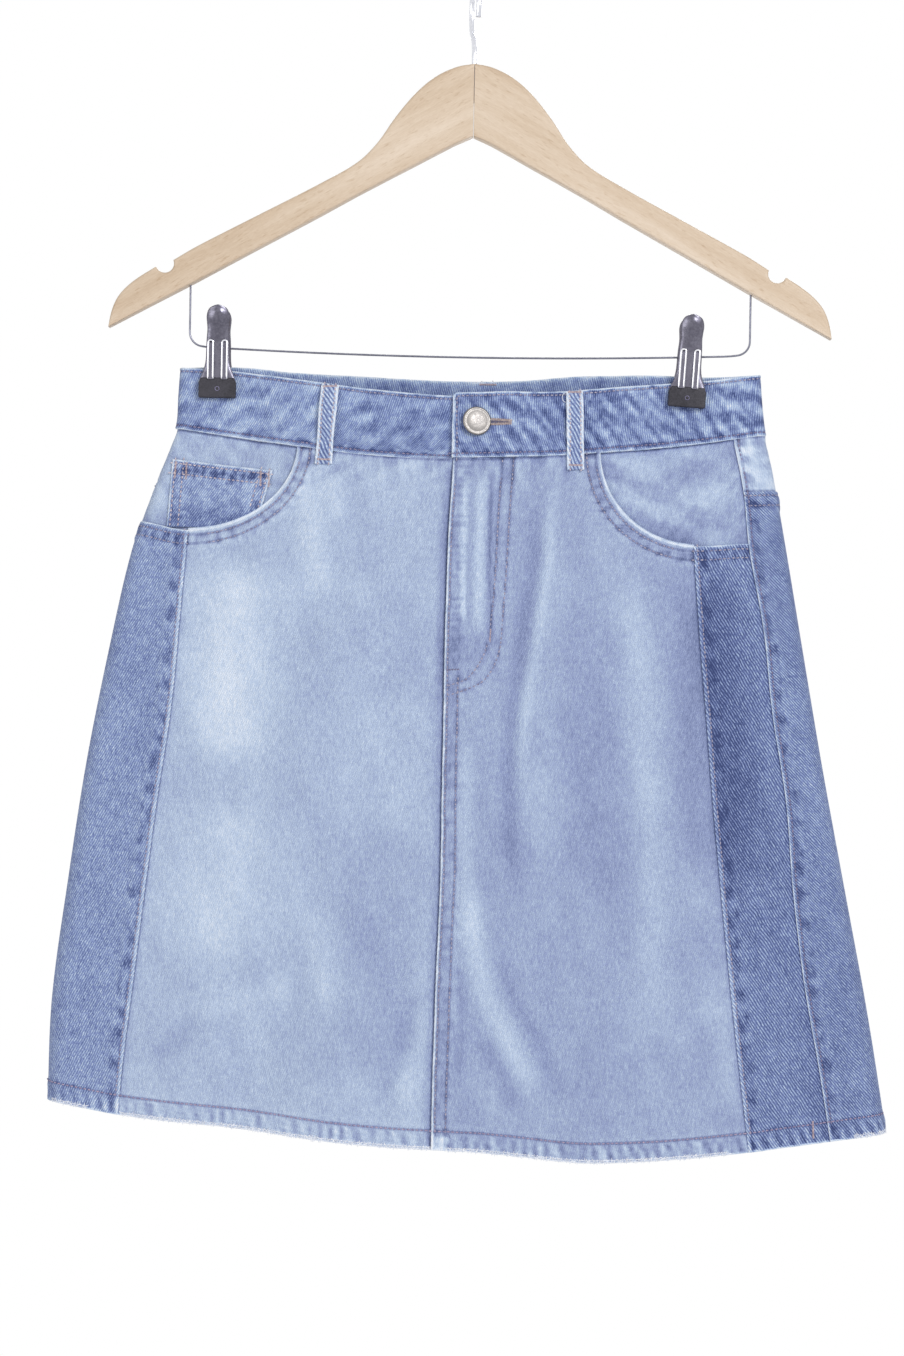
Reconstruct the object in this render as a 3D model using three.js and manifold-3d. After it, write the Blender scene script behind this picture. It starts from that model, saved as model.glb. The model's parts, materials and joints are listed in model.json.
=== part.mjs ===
// A denim skirt hanging by two clips from a wooden hanger, in millimetres.
// The front faces -Y, +X is the viewer's right and +Z is up.
// The origin is the inside top of the hanger's hook, where a rail holds it.
import * as THREE from "three";
import { mergeVertices } from "three/addons/utils/BufferGeometryUtils.js";
import Module from "manifold-3d";

const wasm = await Module();
wasm.setup();

// Driving dimensions of the cloth
const cloth = { wall: 1.5, seamGap: 0.3, layerGap: 0.3, step: 16 };
const hem = { height: 11, extraWall: 1.1, taper: 4 };
const band = { out: 0.8, wall: 3.2, overRise: 2.2, underSink: 1.3, overX: -9.7, underX: 24, overLift: 1.8 };
const lap = { rise: 1.8, flat: 14, fade: 34, under: 11 };
const pocket = { depth: 13, recess: 2 };
const beltLoop = { width: 10.7, wall: 1.4 };
const coin = {
  leftX: -180.2, leftTopZ: -296.8, rightX: -119, rightTopZ: -303, lowX: -182.9, lowZ: -336.8, clear: 1.2, wall: 1.2,
};
const zip = { lowZ: -424, tape: 0.9, chain: 3.2, chainRise: 0.9 };
const clipGrip = { left: -153.5, right: 134.5, flat: 15, fade: 46, topZ: -262, endZ: -345 };
const sideLeftBehind = 3;

// Driving dimensions of the hanger
const wood = { thick: 12, bevel: 1.3, notchOut: 187, notchZ: -177.6, notchR: 5.6, jointGap: 0.3 };
const hook = { wireR: 1.75, insideR: 18, turnDeg: 84, shaftTop: -42, woodEnd: -76 };
const bar = { r: 1, postOut: 171.3, lowZ: -227.4, sag: 4, bendR: 8.5, woodEnd: -184 };
const clip = {
  bottom: -31, wall: 1, jawOut: 7.9, jawHalf: 11.5, padWall: 2, padTop: -18,
  prongX: 4.2, prongWidth: 3, springWall: 0.8, archHalf: 4.6, leanDeg: 3.4,
};
const button = { x: 3.9, z: -272.1, r: 8.6, rim: 2.2, shankR: 2.1, holeEndX: 27 };

// Sections of the hung garment, a row per height: the two side folds' x, the fold's radius and the
// depth that the front and the back swell beyond it.
const sections = table(["z", "left", "right", "fold", "front", "back"], [
  [-236, -175.6, 177.0, 3.6, 9, 7],
  [-258, -177.0, 179.0, 3.7, 9.5, 8],
  [-278, -178.2, 181.6, 4.2, 10.5, 10],
  [-296, -184.8, 185.9, 5.2, 12.5, 13],
  [-318, -192.8, 190.4, 6.2, 15, 16],
  [-353, -204.5, 197.0, 7.5, 18.5, 20],
  [-408, -216.3, 207.0, 8.8, 21, 23],
  [-481, -229.7, 220.6, 10, 22, 24],
  [-555, -240.0, 235.5, 11, 22, 24],
  [-628, -248.6, 250.2, 11.5, 22.5, 24],
  [-690, -250.0, 261.0, 12, 23, 24],
  [-722, -250.0, 265.5, 12, 23, 24],
]);

// Heights of the waistband's edges along x, front and back.
const waistLine = table(["x", "frontTop", "frontSeam", "backTop", "backSeam"], [
  [-178, -240.8, -278.4, -240.8, -278.4],
  [-143, -242.7, -283.0, -239.9, -279.6],
  [-104, -247.3, -288.0, -242.3, -281.8],
  [-60, -252.6, -293.0, -243.7, -283.2],
  [-11, -255.8, -294.8, -245.3, -284.6],
  [30, -254.2, -293.2, -244.4, -284.0],
  [66, -251.2, -290.4, -241.4, -281.4],
  [106, -247.1, -286.4, -240.2, -280.0],
  [144, -243.6, -281.8, -241.1, -279.8],
  [180, -238.9, -276.6, -238.9, -276.6],
]);

// Heights of the hem along x, front and back.
const hemLine = table(["x", "front", "back"], [
  [-250, -689.0, -689.0],
  [-199, -697.0, -695.5],
  [-125, -703.2, -701.0],
  [-52, -710.6, -705.5],
  [10, -713.0, -707.5],
  [70, -718.5, -708.5],
  [118, -717.2, -708.0],
  [167, -713.0, -706.5],
  [216, -706.8, -703.5],
  [264, -700.4, -700.4],
]);

// Front seams, x by height: centre front, where light meets dark on each side, and the right side seam.
const seams = table(["z", "centre", "darkLeft", "darkRight", "sideRight"], [
  [-282, -8.0, -165.5, 134.0, 163.0],
  [-312, -9.6, -167.5, 136.0, 169.1],
  [-345, -11.2, -170.3, 138.6, 172.7],
  [-395, -11.8, -174.0, 142.7, 182.3],
  [-445, -12.1, -177.7, 147.5, 188.3],
  [-500, -12.2, -185.0, 152.6, 197.6],
  [-555, -12.2, -191.5, 158.5, 202.8],
  [-610, -13.9, -197.5, 164.7, 210.4],
  [-665, -14.8, -203.6, 171.6, 220.9],
  [-718, -15.3, -207.5, 178.6, 230.0],
]);

// The back's dark side pieces: their width along the cloth by height.
const backDark = table(["z", "width"], [[-300, 44], [-400, 54], [-560, 66], [-718, 80]]);

// The back yoke's lower edge by the share of the way from a side seam to the centre back.
const yokeLine = table(["share", "z"], [[0, -311], [0.12, -310.5], [0.5, -320], [1, -334]]);

// Belt loop standing off the band, by the distance below the band's top edge.
const loopLift = table(["down", "lift"], [[-0.5, 1.15], [8, 2.2], [22, 3.0], [33, 2.2], [39, 1.4], [44, 0.35], [52, 0.35]]);

// The largest folds, a row each: side (-1 front, 1 back), line from the upper to the lower end,
// width across and height outward.
const folds = [
  { side: -1, x0: 48, z0: -350, x1: 22, z1: -600, width: 24, height: 4.0 },
  { side: -1, x0: 92, z0: -380, x1: 108, z1: -690, width: 30, height: 2.6 },
  { side: -1, x0: 64, z0: -590, x1: 42, z1: -730, width: 20, height: -4.0 },
  { side: -1, x0: -52, z0: -340, x1: -118, z1: -560, width: 30, height: 3.2 },
  { side: -1, x0: -96, z0: -590, x1: -150, z1: -730, width: 22, height: -3.4 },
  { side: -1, x0: -58, z0: -600, x1: -92, z1: -730, width: 24, height: 3.0 },
  { side: 1, x0: -70, z0: -360, x1: -104, z1: -640, width: 30, height: 4.0 },
  { side: 1, x0: 82, z0: -370, x1: 66, z1: -660, width: 28, height: -3.4 },
  { side: 1, x0: 120, z0: -430, x1: 150, z1: -730, width: 26, height: 3.6 },
  { side: 1, x0: -20, z0: -560, x1: -44, z1: -730, width: 24, height: -3.2 },
];

// The top and underside of one hanger arm, by the distance out from the centre joint.
const armLine = table(["out", "top", "under"], [
  [0, -52.4, -96.6],
  [11, -54.6, -101.6],
  [24, -61.0, -108.6],
  [36, -71.4, -115.2],
  [48, -86.2, -121.6],
  [58, -101.0, -127.0],
  [70, -113.4, -133.6],
  [92, -126.6, -146.2],
  [130, -146.8, -167.2],
  [168, -167.0, -188.4],
  [180.5, -174.6, -195.2],
]);
// The arm's rounded end, from the notch's outer side down to the tip.
const armTip = table(["out", "z"], [
  [193, -180.0], [203, -186.4], [210, -192.1], [215, -197.9], [218, -204.0], [219.8, -210.4], [220.8, -216.8],
]);

const finishes = {
  lightDenim: finish(0x9db8d6, 0.9, 0),
  darkDenim: finish(0x5574aa, 0.9, 0),
  beech: finish(0xd8b98e, 0.6, 0),
  steel: finish(0x8d9095, 0.3, 1),
  blackEnamel: finish(0x17181a, 0.35, 0.2),
  blackRubber: finish(0x1c1c1e, 0.85, 0),
  buttonMetal: finish(0xc4c3c0, 0.35, 1),
};

// Tables and small numeric helpers

function table(names, rows) {
  const made = rows.map((row) => Object.fromEntries(names.map((name, i) => [name, row[i]])));
  return { key: names[0], rows: made.sort((a, b) => a[names[0]] - b[names[0]]) };
}

// One column of a table at a key, smooth between rows and held beyond the first and last row.
function read(from, column, at) {
  const { key, rows } = from;
  const last = rows.length - 1;
  if (at <= rows[0][key]) return rows[0][column];
  if (at >= rows[last][key]) return rows[last][column];
  let i = 0;
  while (rows[i + 1][key] < at) i += 1;
  const span = rows[i + 1][key] - rows[i][key];
  const slope = (n) => {
    const a = rows[Math.max(n - 1, 0)];
    const b = rows[Math.min(n + 1, last)];
    return (b[column] - a[column]) / (b[key] - a[key]);
  };
  const t = (at - rows[i][key]) / span;
  const rise = rows[i + 1][column] - rows[i][column];
  const blend = rise * t * t * (3 - 2 * t);
  const bend = span * t * (1 - t) * (slope(i) * (1 - t) - slope(i + 1) * t);
  return rows[i][column] + blend + bend;
}

function smooth(from, to, at) {
  const t = Math.min(Math.max((at - from) / (to - from), 0), 1);
  return t * t * (3 - 2 * t);
}

function mix(a, b, t) {
  return a + (b - a) * t;
}

function finish(color, roughness, metalness) {
  return new THREE.MeshStandardMaterial({ color, roughness, metalness });
}

// The hung cloth. A place on it is round, the share of the way round from the left fold, and z: round
// runs from 0 at the left fold over the front to 1 at the right fold and over the back to 2, or to -1.

function section(z) {
  const { left, right, fold } = Object.fromEntries(
    ["left", "right", "fold"].map((name) => [name, read(sections, name, z)]),
  );
  const quarter = (Math.PI * fold) / 2;
  return { left, right, fold, quarter, half: right - left - 2 * fold + 2 * quarter };
}

// The place of x on the front.
function roundOfX(x, z) {
  const { left, right, fold, quarter, half } = section(z);
  if (x - left < fold) return (fold * Math.acos(1 - Math.max(x - left, 0) / fold)) / half;
  if (right - x < fold) return 1 - (fold * Math.acos(1 - Math.max(right - x, 0) / fold)) / half;
  return (quarter + x - left - fold) / half;
}

// A distance along the cloth as a share of the way round.
const shareOf = (length, z) => length / section(z).half;

// Where a place lies in the flat outline: its x, its distance out from the middle plane and its side.
function outline(round, z) {
  const { left, right, fold, quarter, half } = section(z);
  const wrapped = round - 2 * Math.ceil((round - 1) / 2);
  const side = wrapped >= 0 ? -1 : 1;
  const d = Math.abs(wrapped) * half;
  let x = left + fold + d - quarter;
  let out = fold;
  if (d < quarter) {
    x = left + fold * (1 - Math.cos(d / fold));
    out = fold * Math.sin(d / fold);
  }
  if (d > half - quarter) {
    x = right - fold * (1 - Math.cos((half - d) / fold));
    out = fold * Math.sin((half - d) / fold);
  }
  return { x, out, side, across: (2 * x - left - right) / (right - left) };
}

// How firmly a clip holds front and back together, from 0 to 1.
function held(x, z) {
  const near = Math.min(Math.abs(x - clipGrip.left), Math.abs(x - clipGrip.right));
  return (1 - smooth(clipGrip.flat, clipGrip.fade, near)) * (1 - smooth(-clipGrip.topZ, -clipGrip.endZ, -z));
}

function foldHeight(x, z, side) {
  let sum = 0;
  for (const f of folds) {
    if (f.side !== side) continue;
    const t = (z - f.z0) / (f.z1 - f.z0);
    const ends = smooth(0, 0.35, t) * (f.z1 < -700 ? 1 : 1 - smooth(0.65, 1, t));
    const off = (x - mix(f.x0, f.x1, t)) / f.width;
    sum += f.height * ends * Math.exp(-off * off);
  }
  return sum;
}

function clothPoint(round, z) {
  const { x, out, side, across } = outline(round, z);
  const belly = Math.max(1 - across * across, 0) ** 1.5;
  const swell = read(sections, side < 0 ? "front" : "back", z) * belly * (1 - held(x, z));
  const fade = Math.min(belly * 3, 1);
  return new THREE.Vector3(x, side * (out + swell + foldHeight(x, z, side) * fade), z);
}

function clothNormal(round, z) {
  const reach = 0.6;
  const turn = shareOf(reach, z);
  const along = clothPoint(round + turn, z).sub(clothPoint(round - turn, z));
  const up = clothPoint(round, z + reach).sub(clothPoint(round, z - reach));
  return along.cross(up).normalize();
}

function skin(round, z, lift) {
  return clothPoint(round, z).addScaledVector(clothNormal(round, z), lift);
}

// Heights at a place, read at the x that the place has near that height.

function heightAt(from, front, back, round, nearZ) {
  const { x, side } = outline(round, nearZ);
  return read(from, side < 0 ? front : back, x);
}

const topZ = (round) => heightAt(waistLine, "frontTop", "backTop", round, -245);
const seamZ = (round) => heightAt(waistLine, "frontSeam", "backSeam", round, -285);
const hemZ = (round) => heightAt(hemLine, "front", "back", round, -705);

// Seam places by height

const centreFront = (z) => roundOfX(read(seams, "centre", z), z);
const darkLeft = (z) => roundOfX(read(seams, "darkLeft", z), z);
const darkRight = (z) => roundOfX(read(seams, "darkRight", z), z);
const sideRight = (z) => roundOfX(read(seams, "sideRight", z), z);
const sideLeft = (z) => -shareOf(sideLeftBehind, z);
const backEnd = (z) => 2 + sideLeft(z);
const centreBack = (z) => (sideRight(z) + backEnd(z)) / 2;
const backDarkRight = (z) => sideRight(z) + shareOf(read(backDark, "width", z), z);
const backDarkLeft = (z) => backEnd(z) - shareOf(read(backDark, "width", z), z);
const beside = (seam, length) => (z) => seam(z) + shareOf(length, z);

function yokeZ(round) {
  const z = -315;
  const share = 1 - Math.abs(round - centreBack(z)) / (centreBack(z) - sideRight(z));
  return read(yokeLine, "z", Math.min(Math.max(share, 0), 1));
}

// Solids from grids

// A closed wall between two grids of points with the same rows and columns.
function wall(outer, inner) {
  const rows = outer.length;
  const columns = outer[0].length;
  const points = [...outer.flat(), ...inner.flat()];
  const at = (layer, row, column) => layer * rows * columns + row * columns + column;
  const faces = [];
  const quad = (a, b, c, d) => faces.push(a, b, c, a, c, d);
  for (let r = 0; r + 1 < rows; r += 1) {
    for (let c = 0; c + 1 < columns; c += 1) {
      quad(at(0, r, c), at(0, r + 1, c), at(0, r + 1, c + 1), at(0, r, c + 1));
      quad(at(1, r, c), at(1, r, c + 1), at(1, r + 1, c + 1), at(1, r + 1, c));
    }
    quad(at(0, r, 0), at(1, r, 0), at(1, r + 1, 0), at(0, r + 1, 0));
    quad(at(0, r + 1, columns - 1), at(1, r + 1, columns - 1), at(1, r, columns - 1), at(0, r, columns - 1));
  }
  for (let c = 0; c + 1 < columns; c += 1) {
    quad(at(0, 0, c + 1), at(1, 0, c + 1), at(1, 0, c), at(0, 0, c));
    quad(at(0, rows - 1, c), at(1, rows - 1, c), at(1, rows - 1, c + 1), at(0, rows - 1, c + 1));
  }
  const geometry = new THREE.BufferGeometry();
  geometry.setAttribute("position", new THREE.Float32BufferAttribute(points.flatMap((p) => p.toArray()), 3));
  geometry.setIndex(faces);
  return geometry;
}

// A patch of cloth between four edges. Each edge gives places {round, z}: across from left to right,
// down from top to bottom. lifts gives the outer and inner distance from the surface at a place.
function patch({ top, bottom, left, right }, across, down, lifts) {
  const corner = { tl: left(0), bl: left(1), tr: right(0), br: right(1) };
  const blend = (u, v, part) =>
    (1 - v) * top(u)[part] + v * bottom(u)[part] + (1 - u) * left(v)[part] + u * right(v)[part] -
    (1 - u) * (1 - v) * corner.tl[part] - u * (1 - v) * corner.tr[part] -
    (1 - u) * v * corner.bl[part] - u * v * corner.br[part];
  const grid = (which) =>
    down.map((v) =>
      across.map((u) => {
        const round = blend(u, v, "round");
        const z = blend(u, v, "z");
        return skin(round, z, lifts(round, z)[which]);
      }),
    );
  return wall(grid("outer"), grid("inner"));
}

// The four edges of a piece between two seams and two levels.
function between(leftSeam, rightSeam, upperZ, lowerZ) {
  const meet = (seam, zOf) => {
    let z = zOf(seam(-400));
    for (let i = 0; i < 4; i += 1) z = zOf(seam(z));
    return { round: seam(z), z };
  };
  const level = (zOf) => {
    const a = meet(leftSeam, zOf).round;
    const b = meet(rightSeam, zOf).round;
    return (u) => ({ round: mix(a, b, u), z: zOf(mix(a, b, u)) });
  };
  const side = (seam) => {
    const a = meet(seam, upperZ).z;
    const b = meet(seam, lowerZ).z;
    return (v) => ({ round: seam(mix(a, b, v)), z: mix(a, b, v) });
  };
  return { top: level(upperZ), bottom: level(lowerZ), left: side(leftSeam), right: side(rightSeam) };
}

// Shares of the way across from one seam to another: close together round a side fold, wide elsewhere.
function acrossShares(leftSeam, rightSeam, z, step = cloth.step) {
  const { fold, quarter, half } = section(z);
  const a = leftSeam(z) * half;
  const b = rightSeam(z) * half;
  const shares = [0];
  const toFold = (s) => Math.abs(s - Math.round(s / half) * half);
  let s = a;
  while (s < b) {
    const near = toFold(s) < quarter + 1;
    const next = Math.min(...[-half, 0, half, 2 * half].map((f) => f - quarter - 1 - s).filter((d) => d > 0.5));
    s += near ? fold * 0.62 : Math.min(step, next);
    shares.push((s - a) / (b - a));
  }
  return shares.slice(0, -1).filter((t) => 1 - t > 0.25 * (fold * 0.62) / (b - a)).concat(1);
}

function evenShares(count) {
  return Array.from({ length: count + 1 }, (_, i) => i / count);
}

// Shares of the way down a piece that ends in the hem.
function hemShares(count, length) {
  const thick = 1 - hem.height / length;
  const thin = thick - hem.taper / length;
  return evenShares(count).map((t) => t * thin).concat(thick, 1);
}

// A piece stops half a gap short of a seam or level.
const halfGap = cloth.seamGap / 2;
const under = (zOf) => (round) => zOf(round) - halfGap;
const over = (zOf) => (round) => zOf(round) + halfGap;
const after = (seam) => beside(seam, halfGap);
const before = (seam) => beside(seam, -halfGap);

// How far a place lies past a seam along the cloth.
const past = (seam, round, z) => (round - seam(z)) * section(z).half;

function panelLifts(round, z) {
  const folded = 1 - smooth(hem.height, hem.height + hem.taper, z - hemZ(round));
  return { outer: 0, inner: -cloth.wall - hem.extraWall * folded };
}

// The overlapping front's edge stands up over the piece below it.
function lappedLifts(round, z) {
  const fromEdge = past(centreFront, round, z);
  const rise = lap.rise * (1 - smooth(lap.flat, lap.fade, fromEdge));
  const flat = panelLifts(round, z);
  const fold = (flat.inner + cloth.wall) * smooth(lap.flat - 1, lap.fade, fromEdge);
  return { outer: rise, inner: rise - cloth.wall + fold };
}

// Cloth pieces

// The mouth of a front pocket: a quarter of an ellipse from the waist seam to the dark side piece.
const mouths = {
  left: { x: -104.2, endX: -169.8, endZ: -340.2 },
  right: { x: 80.6, endX: 138.6, endZ: -345.0 },
};

function mouthPlace(mouth, t) {
  const a = (t * Math.PI) / 2;
  const topOf = seamZ(roundOfX(mouth.x, -288)) - halfGap;
  const x = mix(mouth.endX, mouth.x, Math.cos(a));
  const z = mix(topOf, mouth.endZ, Math.sin(a));
  return { round: roundOfX(x, z), z };
}

// A front panel's outer edge: down the pocket mouth, then down the seam with the dark side piece.
function mouthEdge(mouth, seam, share) {
  const endZ = hemZ(seam(-700));
  return (v) => {
    if (v < share) return mouthPlace(mouth, v / share);
    const z = mix(mouth.endZ, endZ, (v - share) / (1 - share));
    return { round: seam(z), z };
  };
}

function edgeBetween(a, b, zOf) {
  return (u) => {
    const round = mix(a.round, b.round, u);
    return { round, z: zOf(round) };
  };
}

const mouthShare = 0.21;
const frontLength = 418;

// Rows of a front panel: closer together beside the pocket mouth, where the edge curves.
function frontShares() {
  const beside = evenShares(9).map((t) => t * mouthShare);
  const lower = hemShares(17, frontLength * (1 - mouthShare)).map((t) => mix(mouthShare, 1, t));
  return beside.concat(lower.slice(1));
}

function frontPanelLeft() {
  const left = mouthEdge(mouths.left, after(darkLeft), mouthShare);
  const right = between(darkLeft, beside(centreFront, lap.under), under(seamZ), hemZ).right;
  const edges = {
    left, right,
    top: edgeBetween(left(0), right(0), under(seamZ)),
    bottom: edgeBetween(left(1), right(1), hemZ),
  };
  const width = widthOf(edges);
  const even = evenShares(11).map((t) => t * (1 - lap.under / width));
  return patch(edges, even.concat(1), frontShares(), (round, z) => {
    const covered = smooth(-2, 0, past(centreFront, round, z));
    return { outer: 0, inner: mix(panelLifts(round, z).inner, -cloth.wall, covered) };
  });
}

function widthOf({ left, right }) {
  return (right(0.5).round - left(0.5).round) * section(left(0.5).z).half;
}

function frontPanelRight() {
  const right = mouthEdge(mouths.right, before(darkRight), mouthShare);
  const left = between(centreFront, darkRight, under(seamZ), hemZ).left;
  const edges = {
    left, right,
    top: edgeBetween(left(0), right(0), under(seamZ)),
    bottom: edgeBetween(left(1), right(1), hemZ),
  };
  const width = widthOf(edges);
  const marks = [0, lap.flat / width, (lap.flat + lap.fade) / 2 / width];
  const rest = evenShares(9).map((t) => mix(lap.fade / width, 1, t));
  return patch(edges, marks.concat(rest), frontShares(), lappedLifts);
}

// The hip facing behind a pocket mouth, from the side seam to just behind the front panel.
function pocketFacing(leftSeam, rightSeam, lowZ) {
  const edges = between(leftSeam, rightSeam, under(seamZ), () => lowZ);
  const shares = acrossShares(leftSeam, rightSeam, -320, 14);
  const outer = -pocket.recess;
  return patch(edges, shares, evenShares(5), () => ({ outer, inner: outer - cloth.wall }));
}

// The small pocket on the left facing: its lower edge follows the mouth, just above it.
function coinPocket() {
  const { leftX, leftTopZ, rightX, rightTopZ, lowX, lowZ, clear } = coin;
  const left = (v) => {
    const z = mix(leftTopZ, lowZ, v);
    return { round: roundOfX(mix(leftX, lowX, v), z), z };
  };
  const rightRound = roundOfX(rightX, rightTopZ);
  const onMouth = (round) => {
    let t = 1;
    while (t > 0 && mouthPlace(mouths.left, t).round < round) t -= 0.005;
    return Math.max(mouthPlace(mouths.left, t).z + clear, lowZ - 1.5);
  };
  const right = (v) => ({ round: rightRound, z: mix(rightTopZ, onMouth(rightRound), v) });
  const top = (u) => ({ round: mix(left(0).round, rightRound, u), z: mix(leftTopZ, rightTopZ, u) });
  const bottom = (u) => {
    const round = mix(left(1).round, rightRound, u);
    return { round, z: u === 0 ? lowZ : onMouth(round) };
  };
  const inner = -pocket.recess + cloth.layerGap;
  return patch({ top, bottom, left, right }, evenShares(12), evenShares(3), () => ({ outer: inner + coin.wall, inner }));
}

function sidePiece(leftSeam, rightSeam, upperZ, rows, length) {
  const edges = between(leftSeam, rightSeam, upperZ, hemZ);
  return patch(edges, acrossShares(leftSeam, rightSeam, -490), hemShares(rows, length), panelLifts);
}

// The dark side piece's top edge on each front side, level with the end of the pocket mouth.
const sideTopLeft = (round) => {
  const { endX, endZ } = mouths.left;
  return mix(-335.0, endZ, smooth(0, roundOfX(endX, endZ), round)) - halfGap;
};
const sideTopRight = (round) => {
  const { endX, endZ } = mouths.right;
  const from = roundOfX(endX, endZ);
  return mix(endZ, -342.8, smooth(from, sideRight(endZ), round)) - halfGap;
};

function yoke(leftSeam, rightSeam) {
  const edges = between(leftSeam, rightSeam, under(seamZ), over(yokeZ));
  return patch(edges, acrossShares(leftSeam, rightSeam, -300), evenShares(3), () => ({ outer: 0, inner: -cloth.wall }));
}

// The waistband: one strip whose right-hand end laps over the other at the centre front.
function waistband() {
  const overEnd = (z) => roundOfX(band.overX, z) - 2;
  const underEnd = (z) => roundOfX(band.underX, z);
  const raised = (round) => 1 - smooth(20, 70, past(overEnd, round, -270));
  const upper = (round) => topZ(round) + band.overLift * raised(round);
  const lower = (round) => seamZ(round) + band.overLift * 0.4 * raised(round) + halfGap;
  const lifts = (round, z) => {
    const over = 1 - smooth(38, 78, past(overEnd, round, z));
    const under = 1 - smooth(38, 78, -past(underEnd, round, z));
    const outer = band.out + band.overRise * over - band.underSink * under;
    return { outer, inner: outer - band.wall };
  };
  const shares = acrossShares(overEnd, underEnd, -260, 13);
  const strip = patch(between(overEnd, underEnd, upper, lower), shares, evenShares(3), lifts);
  return fromSolid(solidOf(strip).subtract(solidOf(buttonholeCutter())).subtract(solidOf(shankCutter())));
}

// Lift of the overlapping band's outer face and of the middle of the gap under it.
const overFace = band.out + band.overRise;
const underGap = overFace - band.wall - cloth.layerGap / 2;

function buttonholeCutter() {
  const slotHalf = 0.8;
  const from = roundOfX(button.x, button.z);
  const to = roundOfX(button.holeEndX, button.z);
  const edges = between(() => from, () => to, () => button.z + slotHalf, () => button.z - slotHalf);
  return patch(edges, evenShares(2), evenShares(1), () => ({ outer: overFace + 3, inner: underGap }));
}

// A turned shape about the cloth's normal under the button: profile rows are radius and lift.
function onButtonAxis(profile, steps) {
  const round = roundOfX(button.x, button.z);
  const centre = clothPoint(round, button.z);
  const normal = clothNormal(round, button.z);
  const geometry = new THREE.LatheGeometry(profile.map(([r, lift]) => new THREE.Vector2(r, lift)), steps);
  geometry.applyQuaternion(new THREE.Quaternion().setFromUnitVectors(new THREE.Vector3(0, 1, 0), normal));
  return geometry.translate(centre.x, centre.y, centre.z);
}

function shankCutter() {
  const holeR = button.shankR + 0.5;
  return onButtonAxis([[0, underGap], [holeR, underGap], [holeR, overFace + 3], [0, overFace + 3]], 20);
}

// A shank button, its shank through the buttonhole and its plain domed face 0.3 mm off the band.
function shankButton() {
  const { r, rim, shankR } = button;
  const foot = underGap + 0.3;
  const seat = overFace + cloth.layerGap;
  const profile = [
    [0, foot], [shankR, foot], [shankR, seat + 0.4], [r - 1.4, seat + 0.1], [r - 0.4, seat + 0.5],
    [r, seat + rim * 0.5], [r - 0.5, seat + rim * 0.9], [r - 1.6, seat + rim * 0.86],
    [r * 0.45, seat + rim * 1.04], [0, seat + rim * 1.08],
  ];
  return onButtonAxis(profile, 32);
}

// A belt loop over the band, leaning from topX to lowX, sewn to the panel just below it.
function loopOn({ topX, lowX, lowZ, back }) {
  const upper = (round) => topZ(round) - 0.4;
  const sign = back ? -1 : 1;
  const centre = (z) => sign * roundOfX(mix(topX, lowX, (z + 248) / (lowZ + 248)), z);
  const halfWidth = beltLoop.width / 2;
  const edges = between(beside(centre, -halfWidth), beside(centre, halfWidth), upper, () => lowZ);
  const lifts = (round, z) => {
    const inner = read(loopLift, "lift", topZ(round) - z);
    return { outer: inner + beltLoop.wall, inner };
  };
  return patch(edges, evenShares(2), [0, 0.16, 0.34, 0.52, 0.68, 0.775, 0.88, 1], lifts);
}

// The zip behind the fly: two tapes and the closed chain as one strip, and its slider at the top.
function zipStrip() {
  const edges = between(beside(centreFront, -9), beside(centreFront, 17), (round) => seamZ(round) - 1.5, () => zip.lowZ);
  const outer = -cloth.layerGap - cloth.wall;
  return patch(edges, [0, 0.38, 0.4, 0.6, 0.62, 1], evenShares(9), (round, z) => {
    const onChain = Math.abs(past(centreFront, round, z) - 4) < zip.chain;
    return { outer, inner: outer - zip.tape - (onChain ? zip.chainRise : 0) };
  });
}

function zipSlider() {
  const edges = between(beside(centreFront, 0.2), beside(centreFront, 7.8), () => -300, () => -310);
  const outer = -2 * cloth.layerGap - cloth.wall - zip.tape - zip.chainRise;
  return patch(edges, evenShares(1), evenShares(1), () => ({ outer, inner: outer - 2 }));
}

// Joining and cutting

function solidOf(geometry) {
  const bare = geometry.index ? geometry.toNonIndexed() : geometry.clone();
  for (const name of Object.keys(bare.attributes)) {
    if (name !== "position") bare.deleteAttribute(name);
  }
  const merged = mergeVertices(bare, 1e-4);
  const vertProperties = merged.attributes.position.array;
  const triVerts = new Uint32Array(merged.index.array);
  return new wasm.Manifold(new wasm.Mesh({ numProp: 3, vertProperties, triVerts }));
}

function fromSolid(solid) {
  const made = solid.getMesh();
  const geometry = new THREE.BufferGeometry();
  geometry.setAttribute("position", new THREE.BufferAttribute(new Float32Array(made.vertProperties), 3));
  geometry.setIndex(new THREE.BufferAttribute(new Uint32Array(made.triVerts), 1));
  return geometry;
}

function rod(radius, from, to, sides = 16) {
  const axis = new THREE.Vector3().subVectors(to, from);
  const geometry = new THREE.CylinderGeometry(radius, radius, axis.length(), sides);
  geometry.applyQuaternion(
    new THREE.Quaternion().setFromUnitVectors(new THREE.Vector3(0, 1, 0), axis.clone().normalize()),
  );
  const middle = from.clone().add(to).multiplyScalar(0.5);
  return geometry.translate(middle.x, middle.y, middle.z);
}

function tube(path, radius, steps, sides = 10) {
  const ring = new THREE.Shape();
  ring.absarc(0, 0, radius, 0, Math.PI * 2);
  return new THREE.ExtrudeGeometry(ring, {
    steps, bevelEnabled: false, extrudePath: path, curveSegments: sides,
  });
}

// The hanger

const at = (x, y, z) => new THREE.Vector3(x, y, z);

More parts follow.
